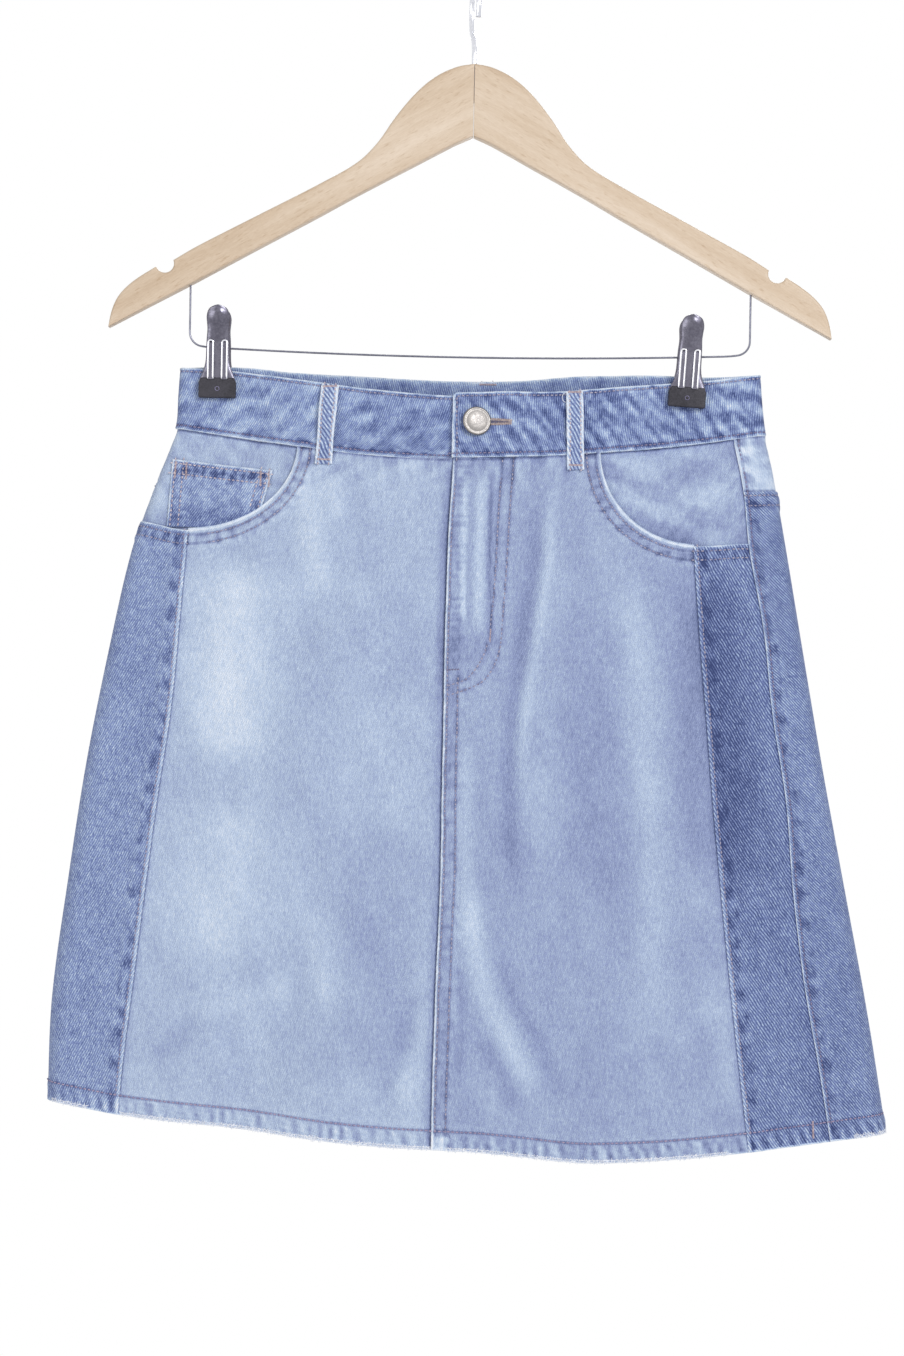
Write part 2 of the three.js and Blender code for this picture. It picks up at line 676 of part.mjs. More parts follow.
function hangerArm(sign) {
  const top = [];
  const under = [];
  const outs = [0.15, 5, 11, 17, 24, 30, 36, 42, 48, 53, 58, 64, 70, 80, 92, 130, 168, 181.6];
  for (const out of outs) top.push([out, read(armLine, "top", out)]);
  for (const out of [168, 130, 92, 48, wood.jointGap / 2]) under.push([out, read(armLine, "under", out)]);
  const tip = armTip.rows.map(({ out, z }) => [out, z]);
  const points = [...top, ...tip, ...under];
  const shape = new THREE.Shape(points.map(([out, z]) => new THREE.Vector2(sign * out, z)));
  const arm = new THREE.ExtrudeGeometry(shape, {
    depth: wood.thick - 2 * wood.bevel, bevelEnabled: true, bevelSize: wood.bevel, bevelThickness: wood.bevel,
    bevelOffset: -wood.bevel, bevelSegments: 2,
  });
  arm.rotateX(Math.PI / 2).translate(0, wood.thick / 2 - wood.bevel, 0);
  const hookHole = rod(hook.wireR + 0.3, at(0, 0, -30), at(0, 0, hook.woodEnd - 0.3));
  const postX = sign * bar.postOut;
  const barHole = rod(bar.r + 0.3, at(postX, 0, -240), at(postX, 0, bar.woodEnd + 0.3));
  const notchX = sign * wood.notchOut;
  const notch = rod(wood.notchR, at(notchX, -wood.thick, wood.notchZ), at(notchX, wood.thick, wood.notchZ), 20);
  return [hookHole, barHole, notch].reduce((body, hole) => body.subtract(solidOf(hole)), solidOf(arm));
}

// The hook's wire: straight out of the wood, a swing to one side, then three quarters of a turn.
function hangerHook() {
  const r = hook.insideR + hook.wireR;
  const turn = THREE.MathUtils.degToRad(hook.turnDeg);
  const place = (aside, z) => at(-aside * Math.cos(turn), aside * Math.sin(turn), z);
  const points = [place(0, hook.woodEnd), place(0, -62), place(0, -50), place(1.2, hook.shaftTop)];
  points.push(place(7.5, -35.2));
  for (let deg = -40; deg <= 205; deg += 22.27) {
    const a = THREE.MathUtils.degToRad(deg);
    points.push(place(r * Math.cos(a), -hook.insideR + r * Math.sin(a)));
  }
  const path = new THREE.CatmullRomCurve3(points, false, "centripetal");
  return tube(path, hook.wireR, 34, 4);
}

function barZ(x) {
  const t = x / bar.postOut;
  return bar.lowZ - bar.sag * (1 - t * t);
}

function hangerBar() {
  const bend = bar.bendR;
  const points = [at(-bar.postOut, 0, bar.woodEnd), at(-bar.postOut, 0, -200), at(-bar.postOut, 0, bar.lowZ + bend)];
  points.push(at(-bar.postOut + bend * 0.3, 0, bar.lowZ + bend * 0.3));
  for (const x of [-162.8, -120, -60, 0, 60, 120, 162.8]) points.push(at(x, 0, barZ(x)));
  points.push(at(bar.postOut - bend * 0.3, 0, bar.lowZ + bend * 0.3));
  points.push(at(bar.postOut, 0, bar.lowZ + bend), at(bar.postOut, 0, -200), at(bar.postOut, 0, bar.woodEnd));
  return tube(new THREE.CatmullRomCurve3(points, false, "centripetal"), bar.r, 48, 3);
}

// One clip, in its own frame: the bar runs through its origin, the jaws point down.

// Half the plate's width by height: round top, straight body, wide jaws.
const plateLine = table(["z", "half"], [
  [25, 2.2], [24, 4.4], [22, 6.1], [19, 7], [14, 7.1], [-10, 7.1], [-15, 8.4], [-19, 10.4], [-22, 11.4], [-31, 11.5],
]);
// The plate's outer face by height: the grips stand apart above the bar.
const plateOut = table(["z", "out"], [[25, 12], [12, 9.6], [2, 8.2], [-8, 7.7], [-16, 7.9], [-31, 7.9]]);

function clipPlate(side) {
  const heights = [25, 24, 22, 19, 13, 5, 0, -8, -12, -16, -19, -22, -31];
  const layer = (inset) =>
    heights.map((z) =>
      evenShares(4).map((u) => {
        const halfWidth = read(plateLine, "half", z);
        const crown = 0.8 * (1 - (2 * u - 1) ** 2) * smooth(-20, -8, z);
        return at(mix(-halfWidth, halfWidth, u), side * (read(plateOut, "out", z) + crown - inset), z);
      }),
    );
  const sheet = side < 0 ? wall(layer(0), layer(clip.wall)) : wall(layer(clip.wall), layer(0));
  let solid = solidOf(sheet);
  for (const x of [-clip.prongX, clip.prongX]) {
    const windowBox = new THREE.BoxGeometry(clip.prongWidth + 0.8, 6, 6).translate(x, side * 8.2, 5);
    solid = solid.subtract(solidOf(windowBox));
  }
  return fromSolid(solid);
}

// The spring: an arch over the bar whose four prongs come out through the plates and press the jaws.
function clipSpring() {
  const w = clip.springWall;
  const inside = clip.archHalf;
  const seat = bar.r + 0.3;
  const arch = [
    at(0, -9.6, -20), at(0, -9.75, -8), at(0, -9.7, 2), at(0, -8.2, 5.2), at(0, -inside, 4.6), at(0, -1.8, seat + w / 2),
  ];
  const line = arch.concat(arch.map((p) => at(0, -p.y, p.z)).reverse());
  const strip = (width, x, points) => {
    const path = new THREE.CatmullRomCurve3(points, false, "centripetal");
    const n = 16;
    const grid = (offset) =>
      Array.from({ length: n + 1 }, (_, i) => {
        const p = path.getPointAt(i / n);
        const t = path.getTangentAt(i / n);
        const normal = at(0, -t.z, t.y).normalize().multiplyScalar(offset);
        return [at(x - width / 2, p.y + normal.y, p.z + normal.z), at(x + width / 2, p.y + normal.y, p.z + normal.z)];
      });
    return wall(grid(w / 2), grid(-w / 2));
  };
  const parts = [-clip.prongX, clip.prongX].map((x) => solidOf(strip(clip.prongWidth, x, line)));
  const bridge = solidOf(strip(2 * clip.prongX, 0, line.slice(4, 8)));
  return fromSolid(outward(parts[0]).add(outward(parts[1])).add(outward(bridge)));
}

// The solid with its faces outward, whichever way its grid ran.
function outward(solid) {
  if (solid.volume() > 0) return solid;
  const made = solid.getMesh();
  const triVerts = new Uint32Array(made.triVerts);
  for (let i = 0; i < triVerts.length; i += 3) [triVerts[i + 1], triVerts[i + 2]] = [triVerts[i + 2], triVerts[i + 1]];
  return new wasm.Manifold(new wasm.Mesh({ numProp: 3, vertProperties: made.vertProperties, triVerts }));
}

function clipPad(side) {
  const height = clip.padTop - clip.bottom;
  const pad = new THREE.BoxGeometry(2 * clip.jawHalf + 1, clip.padWall, height);
  const outFace = clip.jawOut - clip.wall - cloth.layerGap;
  return pad.translate(0, side * (outFace - clip.padWall / 2), clip.bottom + height / 2);
}

// The finished part

const skirt = new THREE.Group();
const model = new THREE.Group();
model.add(skirt);

function add(parent, name, geometry, material) {
  const mesh = new THREE.Mesh(geometry, material);
  mesh.name = name;
  parent.add(mesh);
}

const { lightDenim, darkDenim, beech, steel, blackEnamel, blackRubber, buttonMetal } = finishes;

add(skirt, "waistband", waistband(), darkDenim);
add(skirt, "front_panel_left", frontPanelLeft(), lightDenim);
add(skirt, "front_panel_right", frontPanelRight(), lightDenim);
const facingEnd = (mouth, inward) => (z) => roundOfX(mouth.x + inward * pocket.depth, z);
add(skirt, "pocket_facing_left", pocketFacing(after(sideLeft), facingEnd(mouths.left, 1), -354), lightDenim);
add(skirt, "pocket_facing_right", pocketFacing(facingEnd(mouths.right, -1), before(sideRight), -360), lightDenim);
add(skirt, "coin_pocket", coinPocket(), darkDenim);

const sidePieces = {
  side_front_left: { from: sideLeft, to: darkLeft, top: sideTopLeft, rows: 15, length: 352, material: darkDenim },
  side_front_right: { from: darkRight, to: sideRight, top: sideTopRight, rows: 15, length: 366, material: darkDenim },
  side_back_right: { from: sideRight, to: backDarkRight, top: under(yokeZ), rows: 16, length: 390, material: darkDenim },
  side_back_left: { from: backDarkLeft, to: backEnd, top: under(yokeZ), rows: 16, length: 380, material: darkDenim },
  back_panel_right: { from: backDarkRight, to: centreBack, top: under(yokeZ), rows: 16, length: 380, material: lightDenim },
  back_panel_left: { from: centreBack, to: backDarkLeft, top: under(yokeZ), rows: 16, length: 380, material: lightDenim },
};
for (const [name, { from, to, top, rows, length, material }] of Object.entries(sidePieces)) {
  add(skirt, name, sidePiece(after(from), before(to), top, rows, length), material);
}
add(skirt, "back_yoke_right", yoke(after(sideRight), before(centreBack)), lightDenim);
add(skirt, "back_yoke_left", yoke(after(centreBack), before(backEnd)), lightDenim);
const loops = {
  belt_loop_front_left: { topX: -84.2, lowX: -87.7, lowZ: -299, back: false },
  belt_loop_front_right: { topX: 64, lowX: 65.5, lowZ: -300, back: false },
  belt_loop_back: { topX: 11.5, lowX: 12, lowZ: -294, back: true },
};
for (const [name, loop] of Object.entries(loops)) add(skirt, name, loopOn(loop), darkDenim);
add(skirt, "button", shankButton(), buttonMetal);
add(skirt, "zip", zipStrip(), steel);
add(skirt, "zip_slider", zipSlider(), steel);

add(model, "hanger_arm_left", fromSolid(hangerArm(-1)), beech);
add(model, "hanger_arm_right", fromSolid(hangerArm(1)), beech);
add(model, "hanger_hook", hangerHook(), steel);
add(model, "hanger_bar", hangerBar(), steel);

const clips = { left: { x: clipGrip.left, leanDeg: 0 }, right: { x: clipGrip.right, leanDeg: clip.leanDeg } };
for (const [name, { x, leanDeg }] of Object.entries(clips)) {
  const group = new THREE.Group();
  group.position.set(x, 0, barZ(x));
  group.rotation.y = THREE.MathUtils.degToRad(leanDeg);
  add(group, `clip_${name}_front_plate`, clipPlate(-1), blackEnamel);
  add(group, `clip_${name}_back_plate`, clipPlate(1), blackEnamel);
  add(group, `clip_${name}_spring`, clipSpring(), steel);
  add(group, `clip_${name}_front_pad`, clipPad(-1), blackRubber);
  add(group, `clip_${name}_back_pad`, clipPad(1), blackRubber);
  model.add(group);
}

export default model;
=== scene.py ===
import json
import math
import bpy
import numpy as np
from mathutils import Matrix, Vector

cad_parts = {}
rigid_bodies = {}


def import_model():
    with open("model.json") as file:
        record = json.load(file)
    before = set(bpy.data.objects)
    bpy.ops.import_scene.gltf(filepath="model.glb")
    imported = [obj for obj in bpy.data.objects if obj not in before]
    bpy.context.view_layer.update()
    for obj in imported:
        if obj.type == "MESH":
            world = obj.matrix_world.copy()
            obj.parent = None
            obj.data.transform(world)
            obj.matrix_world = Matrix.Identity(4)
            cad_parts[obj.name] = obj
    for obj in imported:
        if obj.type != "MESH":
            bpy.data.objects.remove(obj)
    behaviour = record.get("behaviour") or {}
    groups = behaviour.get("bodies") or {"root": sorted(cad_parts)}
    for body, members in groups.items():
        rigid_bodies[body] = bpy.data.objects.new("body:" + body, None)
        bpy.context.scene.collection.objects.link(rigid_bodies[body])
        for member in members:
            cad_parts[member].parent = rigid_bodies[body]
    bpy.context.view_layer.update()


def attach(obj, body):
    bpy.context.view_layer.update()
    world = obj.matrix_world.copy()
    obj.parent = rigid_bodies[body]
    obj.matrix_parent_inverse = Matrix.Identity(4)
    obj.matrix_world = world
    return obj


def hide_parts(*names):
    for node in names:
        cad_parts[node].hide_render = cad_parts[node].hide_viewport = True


# A denim skirt on a clip hanger. The front faces -Y, the hook's inside top is the origin.
# Tables and shapes are written in millimetres and scaled once, where a mesh is made.
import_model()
scene = bpy.context.scene
mm = 0.001
print("frame loaded")


# small numeric helpers

def table(names, rows):
    columns = np.array(sorted(rows), float).T
    made = dict(zip(names, columns))
    made["key"] = columns[0]
    return made


def read(rows, column, at):
    # one column of a table at a key, smooth between rows and held beyond the ends
    keys, values = rows["key"], rows[column]
    n = np.arange(len(keys))
    after, before = np.minimum(n + 1, len(keys) - 1), np.maximum(n - 1, 0)
    slope = (values[after] - values[before]) / (keys[after] - keys[before])
    at = np.clip(at, keys[0], keys[-1])
    i = np.clip(np.searchsorted(keys, at, side="right") - 1, 0, len(keys) - 2)
    span = keys[i + 1] - keys[i]
    t = (at - keys[i]) / span
    bend = span * t * (1 - t) * (slope[i] * (1 - t) - slope[i + 1] * t)
    return values[i] + (values[i + 1] - values[i]) * t * t * (3 - 2 * t) + bend


def smooth(start, end, at):
    t = np.clip((at - start) / (end - start), 0, 1)
    return t * t * (3 - 2 * t)


def mix(a, b, t):
    return a + (b - a) * t


def wander(x, z, size, seed):
    # soft noise from -1 to 1 with features about size across
    draw = np.random.default_rng(seed)
    total = np.zeros(np.broadcast(x, z).shape)
    for turn, reach, start in zip(draw.uniform(0, math.pi, 9), draw.uniform(.6, 1.7, 9),
        draw.uniform(0, 6.28, 9)):
        total = total + np.sin((x * math.cos(turn) + z * math.sin(turn)) * 6.28 / (size * reach) + start)
    return np.clip(total / 3.2, -1, 1)


def ripple(along, pitch, seed):
    # an uneven wave along a seam, from -1 to 1
    a, b, c = np.random.default_rng(seed).uniform(0, 6.28, 3)
    wave = np.sin(along * 6.28 / pitch + a) + .6 * np.sin(along * 4.55 / pitch + b) + .5 * np.sin(along
        * 9.1 / pitch + c)
    return np.clip(wave / 1.7, -1, 1)


def bump(distance, width):
    return np.exp(-(distance / width) ** 2)


def spline(points, step):
    # a smooth path through points, with a place about every step
    points = np.asarray(points, float)
    chord = np.concatenate([[0], np.cumsum(np.linalg.norm(np.diff(points, axis=0), axis=1))])
    at = np.linspace(0, chord[-1], max(int(chord[-1] / step), 4))
    columns = {str(i): points[:, i] for i in range(points.shape[1])}
    rows = {"key": chord, **columns}
    return np.stack([read(rows, name, at) for name in columns], axis=-1)


# the hung cloth: a place is round, the share of the way round from the left fold over the front, and z

sections = table(("z", "left", "right", "fold", "front", "back"), [
    (-236, -175.6, 177.0, 3.6, 9, 7),
    (-258, -177.0, 179.0, 3.7, 9.5, 8),
    (-278, -178.2, 181.6, 4.2, 10.5, 10),
    (-296, -184.8, 185.9, 5.2, 12.5, 13),
    (-318, -192.8, 190.4, 6.2, 15, 16),
    (-353, -204.5, 197.0, 7.5, 18.5, 20),
    (-408, -216.3, 207.0, 8.8, 21, 23),
    (-481, -229.7, 220.6, 10, 22, 24),
    (-555, -240.0, 235.5, 11, 22, 24),
    (-628, -248.6, 250.2, 11.5, 22.5, 24),
    (-690, -250.0, 261.0, 12, 23, 24),
    (-722, -250.0, 265.5, 12, 23, 24),
])
waistLine = table(("x", "frontTop", "frontSeam", "backTop", "backSeam"), [
    (-178, -240.8, -278.4, -240.8, -278.4),
    (-143, -242.7, -283.0, -239.9, -279.6),
    (-104, -247.3, -288.0, -242.3, -281.8),
    (-60, -252.6, -293.0, -243.7, -283.2),
    (-11, -255.8, -294.8, -245.3, -284.6),
    (30, -254.2, -293.2, -244.4, -284.0),
    (66, -251.2, -290.4, -241.4, -281.4),
    (106, -247.1, -286.4, -240.2, -280.0),
    (144, -243.6, -281.8, -241.1, -279.8),
    (180, -238.9, -276.6, -238.9, -276.6),
])
hemLine = table(("x", "front", "back"), [
    (-250, -689.0, -689.0),
    (-199, -697.0, -695.5),
    (-125, -703.2, -701.0),
    (-52, -710.6, -705.5),
    (10, -713.0, -707.5),
    (70, -718.5, -708.5),
    (118, -717.2, -708.0),
    (167, -713.0, -706.5),
    (216, -706.8, -703.5),
    (264, -700.4, -700.4),
])
seams = table(("z", "centre", "darkLeft", "darkRight", "sideRight"), [
    (-282, -8.0, -165.5, 134.0, 163.0),
    (-312, -9.6, -167.5, 136.0, 169.1),
    (-345, -11.2, -170.3, 138.6, 172.7),
    (-395, -11.8, -174.0, 142.7, 182.3),
    (-445, -12.1, -177.7, 147.5, 188.3),
    (-500, -12.2, -185.0, 152.6, 197.6),
    (-555, -12.2, -191.5, 158.5, 202.8),
    (-610, -13.9, -197.5, 164.7, 210.4),
    (-665, -14.8, -203.6, 171.6, 220.9),
    (-718, -15.3, -207.5, 178.6, 230.0),
])
backDark = table(("z", "width"), [(-300, 44), (-400, 54), (-560, 66), (-718, 80)])
yokeLine = table(("share", "z"), [(0, -311), (.12, -310.5), (.5, -320), (1, -334)])
loopLift = table(("down", "lift"),
    [(-.5, 1.15), (8, 2.2), (22, 3.0), (33, 2.2), (39, 1.4), (44, .35), (52, .35)])
clipGrip = {"left": -153.5, "right": 134.5, "flat": 15, "fade": 46, "topZ": 262, "endZ": 345}
sideLeftBehind = 3

# large folds: side (-1 front, 1 back), upper end, lower end, width across, height outward
foldNames = ("side", "x0", "z0", "x1", "z1", "width", "height")
folds = [dict(zip(foldNames, row)) for row in (
    (-1, 48, -350, 22, -600, 24, 4.0),
    (-1, 92, -380, 108, -690, 30, 2.6),
    (-1, 64, -590, 42, -730, 20, -4.0),
    (-1, -52, -340, -118, -560, 30, 3.2),
    (-1, -96, -590, -150, -730, 22, -3.4),
    (-1, -58, -600, -92, -730, 24, 3.0),
    (1, -70, -360, -104, -640, 30, 4.0),
    (1, 82, -370, 66, -660, 28, -3.4),
    (1, 120, -430, 150, -730, 26, 3.6),
    (1, -20, -560, -44, -730, 24, -3.2),
)]

# finer creases with painted shade in their troughs, painted highlight on their ridges and some fading: side,
# width, height, tone added, and the line they follow
creaseNames = ("side", "width", "height", "tone", "line")
creases = [dict(zip(creaseNames, row)) for row in (
    (-1, 5, -1.4, -.15, [(43, -305), (41, -353), (36, -391), (32, -425), (28, -470), (29, -530),
        (40, -575)]),
    (-1, 4, 1.1, .17, [(51, -298), (50, -353), (45, -391), (41, -420), (36, -452), (35, -500)]),
    (-1, 10, .4, .08, [(58, -330), (54, -400), (48, -470), (47, -540)]),
    (-1, 11, .9, .13, [(96, -338), (103, -400), (111, -476), (116, -570), (118, -658)]),
    (-1, 5, .5, .13, [(3, -445), (2, -510), (5, -560), (8, -596)]),
    (-1, 8, .9, .19, [(4, -545), (10, -598), (17, -622), (34, -654), (49, -686)]),
    (-1, 5, -.7, -.09, [(22, -590), (31, -618), (51, -648), (65, -688)]),
    (-1, 7, -1.0, -.10, [(14, -640), (28, -668), (37, -692)]),
    (-1, 3, .4, .09, [(24, -660), (20, -692)]),
    (-1, 3, -.6, -.10, [(0, -596), (3, -640), (0, -676)]),
    (-1, 10, -.9, -.10, [(134, -352), (136, -450), (141, -560)]),
    (-1, 24, 0, -.06, [(74, -370), (80, -480), (88, -600)]),
    (-1, 9, .8, .08, [(128, -654), (148, -625), (160, -597)]),
    (-1, 9, .6, .09, [(161, -612), (166, -692)]),
    (-1, 15, -1.8, -.19, [(150, -348), (158, -450), (168, -565)]),
    (-1, 26, 1.0, .22, [(-136, -350), (-143, -420), (-141, -490)]),
    (-1, 30, .6, .14, [(-144, -500), (-150, -560), (-140, -610)]),
    (-1, 10, .8, .12, [(-100, -298), (-92, -345), (-86, -385)]),
    (-1, 6, .8, .10, [(-81, -300), (-77, -335)]),
    (-1, 30, 0, -.05, [(-60, -375), (-50, -450)]),
    (-1, 30, 0, -.10, [(-40, -505), (-52, -590), (-50, -680)]),
    (-1, 9, .8, .10, [(-92, -565), (-80, -600), (-78, -632)]),
    (-1, 6, -1.3, -.10, [(-188, -664), (-172, -652), (-157, -633)]),
    (-1, 8, 1.0, .08, [(-156, -632), (-128, -622), (-97, -616)]),
    (-1, 6, -1.3, -.10, [(-49, -690), (-36, -655), (-25, -612)]),
    (-1, 8, 1.0, .09, [(-33, -690), (-24, -655), (-19, -620)]),
    (-1, 1.8, .4, .26, [(-1.5, -296), (-2, -350), (-1.5, -404)]),
    (-1, 3.8, .4, .25, [(8.5, -296), (8, -350), (8.2, -408)]),
    (-1, 1.5, -.6, -.26, [(14.4, -296), (14, -350), (15, -405), (12, -422)]),
    (-1, 4, 0, -.12, [(-4, -388), (-3, -418)]),
    (-1, 3, 0, -.10, [(8, -400), (7, -418)]),
    (1, 9, 1.0, .14, [(-118, -340), (-128, -430), (-122, -520)]),
    (1, 8, -1.4, -.13, [(-46, -350), (-54, -430), (-50, -520), (-66, -600)]),
    (1, 10, .9, .12, [(52, -345), (60, -440), (54, -560)]),
    (1, 22, .4, .10, [(96, -360), (104, -470), (96, -560)]),
    (1, 7, -1.3, -.10, [(128, -690), (112, -650), (104, -600)]),
    (1, 8, 1.0, .09, [(-92, -690), (-84, -650), (-64, -610)]),
    (1, 24, 0, -.07, [(10, -480), (20, -600), (14, -680)]),
    (1, 14, -1.6, -.12, [(-160, -360), (-172, -450), (-180, -560)]),
    (1, 13, -1.4, -.10, [(150, -370), (164, -470), (176, -590)]),
)]


def section(z):
    left, right, fold = (read(sections, name, z) for name in ("left", "right", "fold"))
    quarter = math.pi * fold / 2
    return left, right, fold, quarter, right - left - 2 * fold + 2 * quarter


def halfGirth(z):
    return section(z)[4]


def roundOfX(x, z):
    left, right, fold, quarter, half = section(z)
    nearLeft = fold * np.arccos(1 - np.clip((x - left) / fold, 0, 1)) / half
    nearRight = 1 - fold * np.arccos(1 - np.clip((right - x) / fold, 0, 1)) / half
    between = (quarter + x - left - fold) / half
    return np.where(x - left < fold, nearLeft, np.where(right - x < fold, nearRight, between))


def outline(around, z):
    # x, distance out from the middle plane, side and place across from -1 to 1
    left, right, fold, quarter, half = section(z)
    wrapped = around - 2 * np.ceil((around - 1) / 2)
    side = np.where(wrapped >= 0, -1, 1)
    d = np.abs(wrapped) * half
    x = left + fold + d - quarter
    out = fold + 0 * d
    nearLeft, nearRight = d < quarter, d > half - quarter
    x = np.where(nearLeft, left + fold * (1 - np.cos(d / fold)), x)
    out = np.where(nearLeft, fold * np.sin(d / fold), out)
    x = np.where(nearRight, right - fold * (1 - np.cos((half - d) / fold)), x)
    out = np.where(nearRight, fold * np.sin((half - d) / fold), out)
    return x, out, side, (2 * x - left - right) / (right - left)


def toLine(x, z, line):
    # distance to a line of points and how far along it the nearest place lies
    line = np.asarray(line, float)
    a, step = line[:-1], np.diff(line, axis=0)
    length = np.hypot(*step.T)
    before = np.concatenate([[0], np.cumsum(length)[:-1]])
    shape = np.shape(x)
    px, pz = np.ravel(x)[:, None], np.ravel(z)[:, None]
    t = np.clip(((px - a[:, 0]) * step[:, 0] + (pz - a[:, 1]) * step[:, 1]) / np.maximum(length,
        1e-9) ** 2, 0, 1)
    gap = np.hypot(px - a[:, 0] - t * step[:, 0], pz - a[:, 1] - t * step[:, 1])
    best = np.argmin(gap, axis=1)
    row = np.arange(len(best))
    along = before[best] + t[row, best] * length[best]
    return gap[row, best].reshape(shape), along.reshape(shape)


def creaseShare(crease, x, z, side):
    gap, along = toLine(x, z, crease["line"])
    whole = np.hypot(*np.diff(np.array(crease["line"], float), axis=0).T).sum()
    ends = smooth(0, .2 * whole, along) * smooth(0, .2 * whole, whole - along)
    return np.where(side == crease["side"], bump(gap, crease["width"]) * ends, 0)


def held(x, z):
    near = np.minimum(np.abs(x - clipGrip["left"]), np.abs(x - clipGrip["right"]))
    across = 1 - smooth(clipGrip["flat"], clipGrip["fade"], near)
    return across * (1 - smooth(clipGrip["topZ"], clipGrip["endZ"], -z))


def foldHeight(x, z, side, fine):
    total = 0 * x
    for f in folds:
        t = (z - f["z0"]) / (f["z1"] - f["z0"])
        lower = 1 if f["z1"] < -700 else 1 - smooth(.65, 1, t)
        off = x - mix(f["x0"], f["x1"], t)
        total = total + np.where(side == f["side"],
            f["height"] * smooth(0, .35, t) * lower * bump(off, f["width"]), 0)
    if fine:
        for crease in creases:
            if crease["height"]:
                total = total + crease["height"] * creaseShare(crease, x, z, side)
        total = total + .55 * wander(x + 900 * side, z, 46, 3) + .28 * wander(x - 700 * side, z, 17, 4)
    return total


def clothPoint(around, z, fine=True):
    x, out, side, across = outline(around, z)
    belly = np.maximum(1 - across * across, 0) ** 1.5
    swell = np.where(side < 0, read(sections, "front", z),
        read(sections, "back", z)) * belly * (1 - held(x, z))
    fade = np.minimum(belly * 3, 1)
    return np.stack([x, side * (out + swell + foldHeight(x, z, side, fine) * fade), z + 0 * x], axis=-1)


def clothNormal(around, z):
    reach = .6
    turn = reach / halfGirth(z)
    along = clothPoint(around + turn, z) - clothPoint(around - turn, z)
    up = clothPoint(around, z + reach) - clothPoint(around, z - reach)
    normal = np.cross(along, up)
    return normal / np.linalg.norm(normal, axis=-1, keepdims=True)


# levels and seams, as functions of the place

def topZ(around):
    x, _, side, _ = outline(around, -245 + 0 * around)
    return np.where(side < 0, read(waistLine, "frontTop", x), read(waistLine, "backTop", x))


def seamZ(around):
    x, _, side, _ = outline(around, -285 + 0 * around)
    return np.where(side < 0, read(waistLine, "frontSeam", x), read(waistLine, "backSeam", x))


def hemZ(around):
    x, _, side, _ = outline(around, -705 + 0 * around)
    return np.where(side < 0, read(hemLine, "front", x), read(hemLine, "back", x))


def beside(seam, length):
    return lambda z: seam(z) + length / halfGirth(z)


def lower(level, length):
    return lambda around: level(around) - length


def seamAt(name):
    return lambda z: roundOfX(read(seams, name, z), z)


centreFront, darkLeft, darkRight, sideRight = (seamAt(n) for n in ("centre", "darkLeft", "darkRight",
    "sideRight"))


def sideLeft(z):
    return -sideLeftBehind / halfGirth(z)


def backEnd(z):
    return 2 + sideLeft(z)


def centreBack(z):
    return (sideRight(z) + backEnd(z)) / 2


def backDarkRight(z):
    return sideRight(z) + read(backDark, "width", z) / halfGirth(z)


def backDarkLeft(z):
    return backEnd(z) - read(backDark, "width", z) / halfGirth(z)


def yokeZ(around):
    z = -315.0
    share = 1 - np.abs(around - centreBack(z)) / (centreBack(z) - sideRight(z))
    return read(yokeLine, "z", np.clip(share, 0, 1))


mouths = {
    "left": {"x": -104.2, "endX": -169.8, "endZ": -340.2},
    "right": {"x": 80.6, "endX": 138.6, "endZ": -345.0},
}


def mouthPlace(mouth, t):
    top = seamZ(roundOfX(mouth["x"], -288.0) + 0 * t)
    x = mix(mouth["endX"], mouth["x"], np.cos(t * math.pi / 2))
    z = mix(top, mouth["endZ"], np.sin(t * math.pi / 2))
    return roundOfX(x, z), z


def sideTopLeft(around):
    end = mouths["left"]
    return mix(-335.0, end["endZ"], smooth(0, roundOfX(end["endX"], end["endZ"]), around))


def sideTopRight(around):
    end = mouths["right"]
    start = roundOfX(end["endX"], end["endZ"])
    return mix(end["endZ"], -342.8, smooth(start, sideRight(end["endZ"]), around))


# edges of a piece: each gives places for shares from 0 to 1

def meet(seam, level):
    z = level(seam(-400.0))
    for _ in range(5):
        z = level(seam(z))
    return seam(z), z


def levelEdge(level, a, b):
    def edge(u):
        around = mix(a, b, u)
        return around, level(around)
    return edge


def between(leftSeam, rightSeam, upperLevel, lowerLevel):
    corners = [meet(seam, level) for level in (upperLevel, lowerLevel) for seam in (leftSeam, rightSeam)]

    def side(seam, top, bottom):
        def edge(v):
            z = mix(top[1], bottom[1], v)
            return seam(z), z
        return edge
    return {
        "top": levelEdge(upperLevel, corners[0][0], corners[1][0]),
        "bottom": levelEdge(lowerLevel, corners[2][0], corners[3][0]),
        "left": side(leftSeam, corners[0], corners[2]),
        "right": side(rightSeam, corners[1], corners[3]),
    }


def coons(edges, u, v):
    # the place inside four edges at shares u across and v down
    zero, one = np.zeros(1), np.ones(1)
    places = []
    top, bottom, left, right = edges["top"](u), edges["bottom"](u), edges["left"](v), edges["right"](v)
    for i in (0, 1):
        tl, bl = edges["left"](zero)[i], edges["left"](one)[i]
        tr, br = edges["right"](zero)[i], edges["right"](one)[i]
        ruled = (1 - v) * top[i] + v * bottom[i] + (1 - u) * left[i] + u * right[i]
        places.append(ruled - (1 - u) * (1 - v) * tl - u * (1 - v) * tr - (1 - u) * v * bl - u * v * br)
    return places


nearEdge = np.array([0, .3, .7, 1.2, 1.8, 2.5, 3.3, 4.3, 5.5, 6.8, 8.0, 9.2, 10.6, 12.4, 14.6])
gridStep = 3.3


